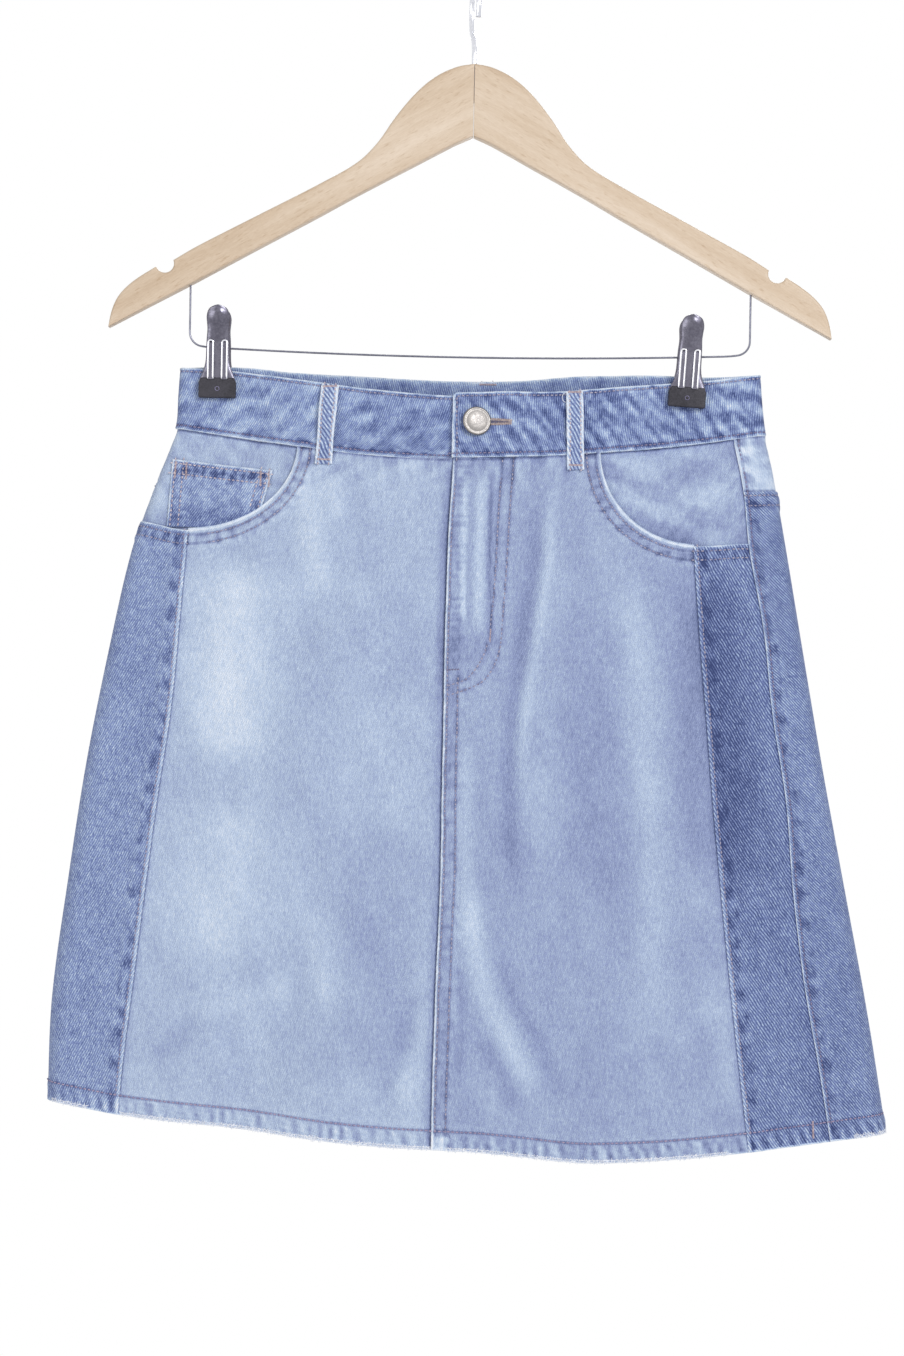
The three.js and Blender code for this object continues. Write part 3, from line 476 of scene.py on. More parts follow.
def shares(length, count):
    # shares across, close together near both ends; length may be an array with one value for a row
    length = np.atleast_1d(length)[:, None]
    near = nearEdge * np.minimum(1, .3 * length / nearEdge[-1]) / length
    t = np.linspace(0, 1, count + 2)[1:-1][None, :]
    inner = mix(near[:, -1:], 1 - near[:, -1:], t)
    return np.concatenate([near, inner, (1 - near)[:, ::-1]], axis=1)


# what each kind of edge does to the cloth beside it
# rise: height of the doubled cloth; wide, fade: how far it reaches; rows: stitch rows; pucker: height and tone
edgeStyles = {
    "felled": {
        "rise": .95, "wide": 8.0, "fade": 3.5, "rows": (2.3,), "pucker": .36, "tone": -.18, "worn": 0,
            "pale": .10, "strip": .2,
    },
    "felledTwice": {
        "rise": .95, "wide": 9.6, "fade": 3, "rows": (2.4, 8.4), "pucker": .32, "tone": -.12, "worn": 0,
            "pale": .10, "pitch": 9,
    },
    "sideSeam": {"rise": .9, "wide": 6.5, "fade": 3.5, "rows": (2.3,), "pucker": .42, "tone": -.17,
    "worn": .6, "pale": .14},
    "mouth": {
        "rise": .55, "wide": 9.8, "fade": 2.5, "rows": (3.0, 8.4), "pucker": .34, "tone": -.18,
            "worn": .9, "pale": .15, "pitch": 6.5,
    },
    "lap": {
        "rise": .3, "wide": 9.4, "fade": 3, "rows": (2.0, 8.5), "pucker": .2, "tone": -.10, "worn": 1.2,
            "pale": .12, "pitch": 4.5,
    },
    "band": {"rise": .25, "wide": 1.2, "fade": 2, "rows": (2.1,), "pucker": .12, "tone": -.05,
    "worn": 1.0, "pale": .14},
    "bandEnd": {"rise": .25, "wide": 2.2, "fade": 2, "rows": (2.6,), "pucker": .2, "tone": -.05,
    "worn": 1.7, "pale": .16, "pitch": 7},
    "bandLow": {"rise": .25, "wide": 3.2, "fade": 2, "rows": (2.3,), "pucker": .2, "tone": -.2,
    "worn": .45, "pale": .14, "pitch": 5},
    "loop": {"rise": .15, "wide": 2.2, "fade": 1, "rows": (1.9,), "pucker": .12, "tone": -.08,
    "worn": 1.6, "pale": .1, "pitch": 4, "strip": .3},
    "coinTop": {
        "rise": .3, "wide": 9, "fade": 2, "rows": (2.4, 8.6), "pucker": .3, "tone": -.3, "worn": 1.0,
            "pale": .24, "pitch": 6,
    },
    "coin": {"rise": .1, "wide": 7, "fade": 2, "rows": (1.9, 6.9), "pucker": .2, "tone": -.15,
    "worn": 1.0, "pale": .20, "pitch": 6},
    "hem": {"rise": .35, "wide": 11, "fade": 2.5, "rows": (11.8,), "pucker": 0, "tone": 0, "worn": 1.0,
    "pale": .12},
}
wallThick, hemExtra, hemHeight, flyEnd = 1.3, 1.0, 12, -424
lap = {"rise": 1.8, "flat": 14, "fade": 34, "under": 11}


def flatPlace(piece, around, z):
    return (around - piece["centre"]) * halfGirth(z), z


def fromFlat(piece, x, z):
    return x / halfGirth(z) + piece["centre"], z


def edgeLine(piece, name):
    edge = piece["marks"].get(name) or piece["edges"][name]
    around, z = edge(np.linspace(0, 1, piece.get("samples", 110)))
    return np.stack(flatPlace(piece, around, z), axis=-1)


def underShare(piece, around, z):
    # 1 where the cloth runs on beneath a neighbour
    hidden = 0 * z
    for seam, sign in piece.get("under", ()):
        hidden = np.maximum(hidden, smooth(-1.2, .4, (around - seam(z)) * sign * halfGirth(z)))
    for level in piece.get("underLevel", ()):
        hidden = np.maximum(hidden, smooth(-1.2, .4, level(around) - z))
    return hidden


def hemRoping(gap, along, fx, fz, seed):
    # slanting ridges of a washed hem, uneven along it: height and tone
    rope = np.sin((along + .2 * gap) * 6.28 / 7.4 + 1.6 * ripple(along, 31, seed))
    rope = rope * (.75 + .35 * wander(fx, fz, 25, seed + 2)) + .3 * wander(fx, fz, 4, seed + 3)
    window = smooth(.2, 2, gap) * (1 - smooth(8.8, 11.2, gap))
    # the dip at the stitch row is painted shade in its groove, with a paler band just above
    return .45 * rope * window, (.25 * rope + .01) * window - .07 * bump(gap - 11.8,
        1.1) + .07 * bump(gap - 14, 1.4)


def describe(piece, around, z):
    # outer and inner lift of the cloth, then its tone and its distances to worn edges, tucks and stitch rows
    x, _, side, _ = outline(around, z)
    fx, fz = flatPlace(piece, around, z)
    far = np.full(np.shape(fx), 99.0)
    lift, rise, tone, cover = 0 * fx, 0 * fx, 0 * fx, 0 * fx
    marks = {"worn": far, "tuck": far, "rowOne": far, "rowTwo": far}

    def nearest(name, distance):
        marks[name] = np.where(np.abs(distance) < np.abs(marks[name]), distance, marks[name])
    for name, style in piece["styles"].items():
        gap, along = toLine(fx, fz, piece["lines"][name])
        seed = piece["seed"] * 7 + ord(name[0])
        # a tucked seam only records its distance, used to paint shadow beside the raised edge lying over it
        if style == "tuck":
            nearest("tuck", gap)
            continue
        if style == "topstitch":
            nearest("rowOne", gap)
            wave, window = ripple(along, 5.5, seed), 1 - smooth(.8, 3.2, gap)
            lift = lift + .15 * wave * window - .2 * bump(gap, .8)
            tone = tone + .06 * bump(gap - 2.2, 1.0) - (.04 + .08 * smooth(-.2, .8, -wave)) * window
            continue
        s = edgeStyles[style]
        near = 1 - smooth(s["wide"], s["wide"] + s["fade"], gap)
        rise = np.maximum(rise, s["rise"] * near)
        for name, row in zip(("rowTwo",) if style == "hem" else ("rowOne", "rowTwo"), s["rows"]):
            besideFly = (style == "lap") & (row > 5) & (z > flyEnd)
            nearest(name, np.where(besideFly, 99, gap - row))
        if s["worn"]:
            nearest("worn", gap * 1.6 / s["worn"] + .5 * ripple(along, 23, seed + 5))
        if style == "hem":
            ropeLift, ropeTone = hemRoping(gap, along, fx, fz, seed)
            lift, tone = lift + ropeLift, tone + ropeTone + s["pale"] * bump(gap, 1.8)
            continue
        wave = .75 * ripple(along, s.get("pitch", 15.5), seed) + .6 * wander(fx, fz, 8, seed)
        reach = s["wide"] + 1.6 * wander(fx, fz, 13, seed + 1)
        window = smooth(1.5, 3.4, gap) * (1 - smooth(reach - .8, reach + 2.0, gap))
        lift = lift + s["pucker"] * wave * window
        lift = lift - .2 * sum(bump(gap - row, .75) for row in s["rows"])
        dark = smooth(-.15, .8, -wave)
        tone = tone + s["tone"] * (.15 + 1.35 * dark - .5 * smooth(0, .8, wave)) * window
        tone = tone + s.get("strip", 0) * smooth(2.9, 2.1, gap)
        tone = tone + s["pale"] * (bump(gap, 1.4) + .5 * bump(gap - s["wide"] - 1.4, 1.6) * (1 - dark))
        lift = lift - .4 * (1 - smooth(0, .8, gap))
        over = style in ("felled", "felledTwice", "sideSeam")
        cover = np.maximum(cover, (1 - smooth(s["wide"] - 2, s["wide"] + 1, gap)) * over)
    if piece.get("creased", True):
        # crease tones: painted shade and painted highlight along the creases, with some fading
        for crease in creases:
            if crease["tone"]:
                tone = tone + crease["tone"] * creaseShare(crease, x, z, side)
        # the band gathers the cloth a little below its seam
        gather = .65 * ripple(x + .25 * z, 17, 31 + side) + .75 * wander(x, z * .6, 10, 32 + side)
        gather = gather * bump(np.minimum(z - seamZ(around), 0), 17)
        lift, tone = lift + .6 * gather, tone + .15 * gather
    tone = tone + .025 * wander(x + 300 * side + piece["seed"], z, 60, 11) + .02 * wander(x + 500 * side,
        z * .5, 18, 12)
    if piece.get("tint"):
        tone = tone + piece["tint"](x, z, side)
    hidden = underShare(piece, around, z)
    outer, inner = piece["lifts"](around, z)
    outer = outer + (rise + lift) * (1 - hidden) - .5 * hidden
    hemFold = (1 - smooth(hemHeight, hemHeight + 3,
        z - hemZ(around))) if "hem" in piece["styles"].values() else 0
    flatInner = np.minimum(inner - hemExtra * hemFold, outer - .75 * wallThick)
    inner = mix(flatInner, outer - .75, cover * (1 - .8 * hemFold))
    return outer, inner, piece["tone"] + tone, marks


def pointAt(piece, around, z, extra=0.0, inside=False):
    outer, inner, *_ = describe(piece, around, z)
    normal = clothNormal(around, z)
    lift = (inner - extra) if inside else (outer + extra)
    return clothPoint(around, z) + normal * lift[..., None], (-normal if inside else normal)


def flatLifts(around, z):
    return 0 * around, 0 * around - wallThick


def lappedLifts(around, z):
    fromEdge = (around - centreFront(z)) * halfGirth(z)
    rise = lap["rise"] * (1 - smooth(lap["flat"], lap["fade"], fromEdge))
    return rise, rise - wallThick


# materials: small helpers, then shared node groups

def node(tree, kind, inputs=None, **settings):
    made = tree.nodes.new(kind)
    for name, value in settings.items():
        setattr(made, name, value)
    for name, value in (inputs or {}).items():
        if isinstance(value, bpy.types.NodeSocket):
            tree.links.new(value, made.inputs[name])
        else:
            made.inputs[name].default_value = value
    return made


def calc(tree, operation, a, b=0.0, c=0.0):
    return node(tree, "ShaderNodeMath", {0: a, 1: b, 2: c}, operation=operation).outputs[0]


def remap(tree, value, low, high, toLow=0.0, toHigh=1.0):
    sockets = {"Value": value, "From Min": low, "From Max": high, "To Min": toLow, "To Max": toHigh}
    return node(tree, "ShaderNodeMapRange", sockets, interpolation_type="SMOOTHSTEP").outputs["Result"]


def noise(tree, place, scale, detail=2.0, roughness=.5, stretch=None):
    if stretch:
        place = node(tree, "ShaderNodeVectorMath", {0: place, 1: stretch}, operation="MULTIPLY").outputs[0]
    sockets = {"Vector": place, "Scale": scale, "Detail": detail, "Roughness": roughness}
    return node(tree, "ShaderNodeTexNoise", sockets).outputs["Fac"]


def srgb(r, g, b):
    def linear(c):
        c = c / 255
        return c / 12.92 if c < .04045 else ((c + .055) / 1.055) ** 2.4
    return linear(r), linear(g), linear(b), 1.0


def newGroup(name, inputs, outputs):
    tree = bpy.data.node_groups.new(name, "ShaderNodeTree")
    for socketName, kind, value in inputs:
        socket = tree.interface.new_socket(name=socketName, in_out="INPUT", socket_type="NodeSocket" + kind)
        if value is not None:
            socket.default_value = value
    for socketName, kind in outputs:
        tree.interface.new_socket(name=socketName, in_out="OUTPUT", socket_type="NodeSocket" + kind)
    return tree, tree.nodes.new("NodeGroupInput").outputs, tree.nodes.new("NodeGroupOutput").inputs


def placed(tree, group, inputs):
    made = tree.nodes.new("ShaderNodeGroup")
    made.node_tree = group
    for name, value in inputs.items():
        if isinstance(value, bpy.types.NodeSocket):
            tree.links.new(value, made.inputs[name])
        else:
            made.inputs[name].default_value = value
    return made.outputs


def weaveGroup():
    # twill lines, slubby warp streaks and fine specks from a place in metres along the cloth
    tree, given, out = newGroup("twillWeave", [
        ("Place", "Vector", None), ("Pitch mm", "Float", 1.3), ("Slope", "Float", 1.0),
        ("Twill", "Float", .4), ("Streaks", "Float", .4), ("Specks", "Float", .3),
    ], [("Threads", "Float"), ("Height", "Float")])
    place = node(tree, "ShaderNodeVectorMath", {0: given["Place"], "Scale": 1000.0},
        operation="SCALE").outputs[0]
    parts = node(tree, "ShaderNodeSeparateXYZ", {0: place}).outputs
    across = calc(tree, "MULTIPLY", parts["X"], calc(tree, "SINE", given["Slope"]))
    down = calc(tree, "MULTIPLY", parts["Y"], calc(tree, "COSINE", given["Slope"]))
    sway = calc(tree, "MULTIPLY", noise(tree, place, .09, 2.0), 1.5)
    lines = calc(tree, "ADD", calc(tree, "DIVIDE", calc(tree, "SUBTRACT", across, down),
        given["Pitch mm"]), sway)
    twill = calc(tree, "SINE", calc(tree, "MULTIPLY", lines, 6.2832))
    broken = remap(tree, noise(tree, place, .5, 3.0), .3, .62, .15, 1.0)
    twill = calc(tree, "MULTIPLY", twill, broken)
    streaks = calc(tree, "MULTIPLY_ADD", noise(tree, place, .6, 4.0, .75, (1.3, .3, 1)), 4.0, -2.0)
    specks = calc(tree, "MULTIPLY_ADD", noise(tree, place, .5, 4.0, .85), 4.0, -2.0)
    threads = calc(tree, "MULTIPLY", twill, given["Twill"])
    threads = calc(tree, "MULTIPLY_ADD", streaks, given["Streaks"], threads)
    threads = calc(tree, "MULTIPLY_ADD", specks, given["Specks"], threads)
    tree.links.new(threads, out["Threads"])
    tree.links.new(calc(tree, "MULTIPLY_ADD", specks, .6, twill), out["Height"])
    return tree


def dyeGroup():
    # indigo from unwashed to worn white by tone
    tree, given, out = newGroup("indigoDye", [("Tone", "Float", .5)], [("Colour", "Color")])
    ramp = node(tree, "ShaderNodeValToRGB", {0: calc(tree, "MULTIPLY", given["Tone"], .8)})
    stops = [
        (0, (58, 69, 110)), (.2, (96, 109, 151)), (.4, (138, 151, 192)), (.52, (159, 175, 207)),
        (.66, (184, 201, 226)), (.82, (214, 225, 241)), (1, (243, 245, 250)),
    ]
    ramp.color_ramp.elements[1].position = stops[1][0]
    for position, _ in stops[2:]:
        ramp.color_ramp.elements.new(position)
    for element, (position, colour) in zip(ramp.color_ramp.elements, stops):
        element.position = position
        element.color = srgb(*colour)
    tree.links.new(ramp.outputs["Color"], out["Colour"])
    return tree


def foldWearGroup():
    # bare white threads along a folded edge, broken up a little
    tree, given, out = newGroup("foldWear", [
        ("Place", "Vector", None), ("Distance", "Float", 99.0), ("Width", "Float", 1.0),
    ], [("Bare", "Float")])
    rough = calc(tree, "MULTIPLY_ADD", noise(tree, given["Place"], 420.0, 2.0), 2.6, -1.3)
    gap = calc(tree, "DIVIDE", calc(tree, "ADD", given["Distance"], rough), given["Width"])
    breaks = remap(tree, noise(tree, given["Place"], 150.0, 2.0), .32, .58, .4, 1.0)
    tree.links.new(calc(tree, "MULTIPLY", remap(tree, gap, .35, 1.35, 1.0, 0.0), breaks), out["Bare"])
    return tree


twillWeave, indigoDye, foldWear = weaveGroup(), dyeGroup(), foldWearGroup()


def newMaterial(name, colour, roughness, metallic=0.0):
    made = bpy.data.materials.new(name)
    made.use_nodes = True
    made.diffuse_color = colour
    shader = made.node_tree.nodes["Principled BSDF"]
    shader.inputs["Base Color"].default_value = colour
    shader.inputs["Roughness"].default_value = roughness
    shader.inputs["Metallic"].default_value = metallic
    return made, made.node_tree, shader


def bumpFrom(tree, shader, height, strength, distance):
    made = node(tree, "ShaderNodeBump", {"Height": height, "Strength": strength, "Distance": distance})
    tree.links.new(made.outputs["Normal"], shader.inputs["Normal"])


def denim(name, look):
    made, tree, shader = newMaterial(name, srgb(150, 166, 205), .88)
    place = node(tree, "ShaderNodeUVMap", uv_map="cloth").outputs["UV"]
    tone, worn, tuck, rowOne, rowTwo = (
        node(tree, "ShaderNodeAttribute", attribute_name=n).outputs["Fac"]
        for n in ("tone", "worn", "tuck", "rowOne", "rowTwo")
    )
    weave = placed(tree, twillWeave, {
        "Place": place, "Pitch mm": look["pitch"], "Slope": look["slope"],
        "Twill": look["twill"], "Streaks": look["streaks"], "Specks": look["specks"],
    })
    clouds = calc(tree, "MULTIPLY_ADD", noise(tree, place, 40.0, 4.0, .65), 2.0, -1.0)
    marble = calc(tree, "MULTIPLY_ADD",
        noise(tree, place, 190.0, 3.0, .7, (1, look["marbleStretch"], 1)), 2.4, -1.2)
    tone = calc(tree, "MULTIPLY_ADD", clouds, look["clouds"], tone)
    tone = calc(tree, "MULTIPLY_ADD", marble, look["marble"], tone)
    tone = calc(tree, "MULTIPLY_ADD", weave["Threads"], look["contrast"], tone)
    # painted shadow: darker close to a tucked seam where a raised edge lies over it, with a softer painted
    # shade a little wider
    tone = calc(tree, "SUBTRACT", tone, remap(tree, tuck, .2, 1.9, look["tuck"], 0.0))
    tone = calc(tree, "SUBTRACT", tone, remap(tree, tuck, 1.0, 5.5, look["shade"], 0.0))
    # painted shade in the stitched grooves along each row
    for row in (rowOne, rowTwo):
        tone = calc(tree, "SUBTRACT", tone,
            remap(tree, calc(tree, "ABSOLUTE", row), .4, 1.35, look["grooveShade"], 0.0))
    bare = placed(tree, foldWear, {"Place": place, "Distance": worn, "Width": 1.5})["Bare"]
    paler = calc(tree, "MULTIPLY", bare, calc(tree, "SUBTRACT", 1.15, tone))
    tone = calc(tree, "MULTIPLY_ADD", paler, look["bare"], tone)
    dyed = placed(tree, indigoDye, {"Tone": tone})["Colour"]
    dyed = node(tree, "ShaderNodeHueSaturation",
        {"Saturation": look["depth"], "Color": dyed}).outputs["Color"]
    tree.links.new(dyed, shader.inputs["Base Color"])
    shader.inputs["Sheen Weight"].default_value = .1
    shader.inputs["Sheen Roughness"].default_value = .5
    bumpFrom(tree, shader, weave["Height"], look["relief"], .0003)
    return made


# tuck and shade set the depth of the painted shadow beside raised seams; the groove value sets the painted
# shade along stitch rows
denimLooks = {
    "lightDenim": {
        "pitch": 1.25, "slope": 1.15, "twill": .25, "streaks": .65, "specks": .7, "contrast": .24,
            "clouds": .06, "depth": .97,
        "marble": .06, "marbleStretch": .55, "tuck": .30, "shade": .05, "grooveShade": .19, "bare": .8,
        "relief": .5,
    },
    "darkDenim": {
        "pitch": 1.3, "slope": 1.05, "twill": .6, "streaks": .5, "specks": .8, "contrast": .42,
            "clouds": .09, "depth": 1.12,
        "marble": .12, "marbleStretch": .6, "tuck": .28, "shade": .04, "grooveShade": .12, "bare": .8,
        "relief": .6,
    },
    "darkTwill": {
        "pitch": 1.55, "slope": -1.0, "twill": 1.0, "streaks": .4, "specks": .8, "contrast": .34,
            "clouds": .13, "depth": 1.12,
        "marble": .14, "marbleStretch": .5, "tuck": .28, "shade": .04, "grooveShade": .12, "bare": .85,
        "relief": .6,
    },
    "loopTwill": {
        "pitch": 2.1, "slope": -1.0, "twill": 1.0, "streaks": .3, "specks": .6, "contrast": .42,
            "clouds": .08, "depth": 1.1,
        "marble": .08, "marbleStretch": .5, "tuck": .28, "shade": .04, "grooveShade": .12, "bare": .85,
        "relief": .6,
    },
    "bandDenim": {
        "pitch": 1.3, "slope": 1.32, "twill": .7, "streaks": .5, "specks": .7, "contrast": .34,
            "clouds": .14, "depth": 1.14,
        "marble": .20, "marbleStretch": .8, "tuck": .28, "shade": .04, "grooveShade": .2, "bare": .85,
        "relief": .6,
    },
}
finishes = {name: denim(name, look) for name, look in denimLooks.items()}
print("denim finishes made")


# cloth pieces

def smoothMesh(name, points, faces, material, attributes=None, uv=None):
    mesh = bpy.data.meshes.new(name)
    mesh.vertices.add(len(points))
    mesh.vertices.foreach_set("co", (np.asarray(points, float) * mm).ravel())
    faces = np.asarray(faces, np.int32)
    mesh.loops.add(faces.size)
    mesh.polygons.add(len(faces))
    mesh.loops.foreach_set("vertex_index", faces.ravel())
    mesh.polygons.foreach_set("loop_start", np.arange(len(faces)) * faces.shape[1])
    mesh.update(calc_edges=True)
    mesh.polygons.foreach_set("use_smooth", np.ones(len(faces), bool))
    for key, values in (attributes or {}).items():
        mesh.attributes.new(key, "FLOAT", "POINT").data.foreach_set("value", np.asarray(values, np.float32))
    if uv is not None:
        layer = mesh.uv_layers.new(name="cloth")
        layer.data.foreach_set("uv", (np.asarray(uv, float)[faces.ravel()] * mm).ravel())
    mesh.materials.append(material)
    mesh.validate()
    made = bpy.data.objects.new(name, mesh)
    scene.collection.objects.link(made)
    return made


def shellFaces(rows, columns):
    # quads of a closed wall between two grids, the outer one first
    n = np.arange(rows * columns).reshape(rows, columns)
    a, b, c, d = (part.ravel() for part in (n[:-1, :-1], n[1:, :-1], n[1:, 1:], n[:-1, 1:]))
    far = rows * columns
    outer = np.stack([a, b, c, d], axis=1)
    inner = np.stack([a, d, c, b], axis=1) + far
    rim = np.concatenate([n[:, 0], n[-1, 1:], n[-2::-1, -1], n[0, -2:0:-1]])
    after = np.roll(rim, -1)
    side = np.stack([rim, rim + far, after + far, after], axis=1)
    return np.concatenate([outer, inner, side])


def clothSheet(name, piece):
    edges = piece["edges"]
    halfDown = np.array([.5])
    leftMid, rightMid = edges["left"](halfDown), edges["right"](halfDown)
    width = ((rightMid[0] - leftMid[0]) * halfGirth(leftMid[1]))[0]
    length = abs(edges["top"](halfDown)[1] - edges["bottom"](halfDown)[1])[0]
    down = piece.get("rows")
    if down is None:
        down = shares(length, max(int(length / gridStep), 2))[0]
    leftPlace, rightPlace = edges["left"](down), edges["right"](down)
    widths = (rightPlace[0] - leftPlace[0]) * halfGirth((leftPlace[1] + rightPlace[1]) / 2)
    u = shares(widths, max(int(width / gridStep), 2))
    v = np.repeat(down[:, None], u.shape[1], axis=1)
    around, z = coons(edges, u, v)
    outer, inner, tone, marks = describe(piece, around, z)
    base, normal = clothPoint(around, z), clothNormal(around, z)
    front = base + normal * outer[..., None]
    behind = base + normal * inner[..., None]
    fx, fz = flatPlace(piece, around, z)
    shift = piece["seed"] * 37.0
    uv = np.stack([fx + shift, fz + .4 * shift], axis=-1).reshape(-1, 2)
    insideTone = np.clip(tone + piece.get("insideTone", .1), 0, 1.1)
    attributes = {
        "tone": np.concatenate([tone.ravel(), insideTone.ravel()]),
        "worn": np.tile(marks["worn"].ravel(), 2),
    }
    for key in ("tuck", "rowOne", "rowTwo"):
        attributes[key] = np.concatenate([marks[key].ravel(), 99 + 0 * tone.ravel()])
    points = np.concatenate([front.reshape(-1, 3), behind.reshape(-1, 3)])
    made = smoothMesh(name, points, shellFaces(*z.shape), finishes[piece["finish"]], attributes,
        np.tile(uv, (2, 1)))
    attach(made, "root")
    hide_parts(piece["node"])
    return made


def newPiece(node, edges, styles, finish, tone, seed, centre=.5, marks=None, **more):
    piece = {
        "node": node, "edges": edges, "styles": styles, "finish": finish, "tone": tone, "seed": seed,
        "centre": centre, "marks": marks or {}, "lifts": flatLifts, "restsOn": ["denimWaistband"],
        "slot": "light_denim" if finish == "lightDenim" else "dark_denim", **more,
    }
    piece["lines"] = {name: edgeLine(piece, name) for name in styles}
    return piece


tuckUnder = 7.0  # how far a lower piece runs on below the raised one
edgeOver = .5  # how far a raised edge reaches past the seam
intoBand = 1.5  # how far the panels run up into the waistband
mouthShare = .21
tones = {"light": .66, "dark": .43, "darkRight": .36, "band": .50, "facing": .50, "coin": .53, "loop": .52}


def mouthEdge(mouth, seam, tuck):
    # down the pocket mouth, then down the seam below it, sliding under the dark side piece
    end = float(hemZ(seam(-700.0)))

    def edge(v):
        onMouth = mouthPlace(mouth, np.clip(v / mouthShare, 0, 1))
        z = mix(mouth["endZ"], end, np.clip((v - mouthShare) / (1 - mouthShare), 0, 1))
        slid = seam(z) + tuck * smooth(0, 9, mouth["endZ"] - z) / halfGirth(z)
        return np.where(v < mouthShare, onMouth[0], slid), np.where(v < mouthShare, onMouth[1], z)
    return edge


def mouthMark(mouth):
    return lambda t: mouthPlace(mouth, t)


def belowMouth(mouth, seam):
    end = float(hemZ(seam(-700.0)))

    def edge(t):
        z = mix(mouth["endZ"] - 4, end, t)
        return seam(z), z
    return edge


def frontRows():
    upper = np.linspace(0, mouthShare, 44)
    down = shares(418 * (1 - mouthShare), 95)[0]
    return np.concatenate([upper, mix(mouthShare, 1, down[1:])])


def frontEdges(left, right):
    zero, one = np.zeros(1), np.ones(1)
    upper, under = lower(seamZ, -intoBand), hemZ
    return {
        "left": left, "right": right,
        "top": levelEdge(upper, left(zero)[0][0], right(zero)[0][0]),
        "bottom": levelEdge(under, left(one)[0][0], right(one)[0][0]),
    }


def topMark(edges):
    def mark(u):
        around = edges["top"](u)[0]
        return around, seamZ(around)
    return mark


def sideDown(seam, upper=seamZ):
    return between(seam, beside(seam, 40), upper, hemZ)["left"]


flyOuter = [(28, -292.7), (26, -325), (24.2, -365), (22.6, -391), (20.6, -412), (12.6, -428),
    (-2, -435.8), (-9.4, -437.8)]
flyInner = [(21.3, -292.7), (19.2, -325), (17.8, -363), (15.8, -391), (11.8, -412.6), (2.2, -427.5),
    (-9.2, -432)]


def drawnMark(points):
    line = spline(points, 2.0)
    share = np.linspace(0, 1, len(line))

    def mark(t):
        z = np.interp(t, share, line[:, 1])
        return roundOfX(np.interp(t, share, line[:, 0]), z), z
    return mark


def rightFrontTint(x, z, side):
    # the stitched fly lies a little darker, and a cream block shows where the seam crosses the hem
    inside = smooth(-8, -2, x) * (1 - smooth(20, 26, x)) * smooth(-436, -424, z) * (side < 0)
    fromSeam = x - read(seams, "centre", z)
    block = smooth(-702, -705, z) * (1 - smooth(9, 11, fromSeam)) * (side < 0)
    return -.03 * inside + .4 * block


def leftFrontTint(x, z, side):
    # the raised fly throws a soft shade on the panel beside it
    fromSeam = read(seams, "centre", z) - x
    strong = mix(.45, 1.0, smooth(-446, -425, z)) * smooth(-296, -312, z)
    return -.22 * strong * (1 - smooth(1.5, 8, fromSeam)) * (side < 0)


pieces = {}
leftFrontEdges = frontEdges(
    mouthEdge(mouths["left"], darkLeft, -tuckUnder), sideDown(beside(centreFront, lap["under"])))
pieces["denimFrontLeft"] = newPiece(
    "front_panel_left", leftFrontEdges,
        {"left": "mouth", "left2": "tuck", "right": "tuck", "top": "tuck", "bottom": "hem"},
    "lightDenim", tones["light"] + .055, 1, rows=frontRows(), tint=leftFrontTint,
    marks={
        "left": mouthMark(mouths["left"]), "left2": belowMouth(mouths["left"], darkLeft),
        "right": sideDown(centreFront), "top": topMark(leftFrontEdges),
    }, under=[(darkLeft, -1), (centreFront, 1)],
)
rightFrontEdges = frontEdges(
    sideDown(centreFront), mouthEdge(mouths["right"], darkRight, tuckUnder))
pieces["denimFrontRight"] = newPiece(
    "front_panel_right", rightFrontEdges, {
        "left": "lap", "right": "mouth", "right2": "tuck", "top": "tuck", "bottom": "hem",
        "flyOuter": "topstitch", "flyInner": "topstitch",
    }, "lightDenim", tones["light"] - .06, 2, rows=frontRows(), lifts=lappedLifts, tint=rightFrontTint,
    marks={
        "flyOuter": drawnMark(flyOuter), "flyInner": drawnMark(flyInner),
        "right": mouthMark(mouths["right"]), "right2": belowMouth(mouths["right"], darkRight),
        "top": topMark(rightFrontEdges),
    }, under=[(darkRight, 1)],
)
pieces["denimSideFrontLeft"] = newPiece(
    "side_front_left", between(beside(sideLeft, -tuckUnder), beside(darkLeft, edgeOver), sideTopLeft, hemZ),
    {"right": "felled", "top": "mouth", "left": "tuck", "bottom": "hem"}, "darkDenim",
    tones["dark"] + .09, 3,
    marks={"left": sideDown(sideLeft, sideTopLeft)}, under=[(sideLeft, -1)],
)
pieces["denimSideFrontRight"] = newPiece(
    "side_front_right", between(beside(darkRight, -edgeOver), beside(sideRight, tuckUnder), sideTopRight,
        hemZ),
    {"left": "felled", "top": "mouth", "right": "tuck", "bottom": "hem"}, "darkTwill",
    tones["darkRight"] + .02, 4,
    marks={"right": sideDown(sideRight, sideTopRight)}, under=[(sideRight, 1)],
)
pieces["denimSideBackRight"] = newPiece(
    "side_back_right", between(beside(sideRight, -edgeOver), beside(backDarkRight, edgeOver), yokeZ, hemZ),
    {"left": "sideSeam", "right": "felled", "top": "felledTwice", "bottom": "hem"}, "darkTwill",
    tones["darkRight"] + .06, 5,
    centre=1.5,
)
pieces["denimSideBackLeft"] = newPiece(
    "side_back_left", between(beside(backDarkLeft, -edgeOver), beside(backEnd, edgeOver), yokeZ, hemZ),
    {"right": "sideSeam", "left": "felled", "top": "felledTwice", "bottom": "hem"}, "darkDenim",
    tones["dark"] + .05, 6, centre=1.5,
)
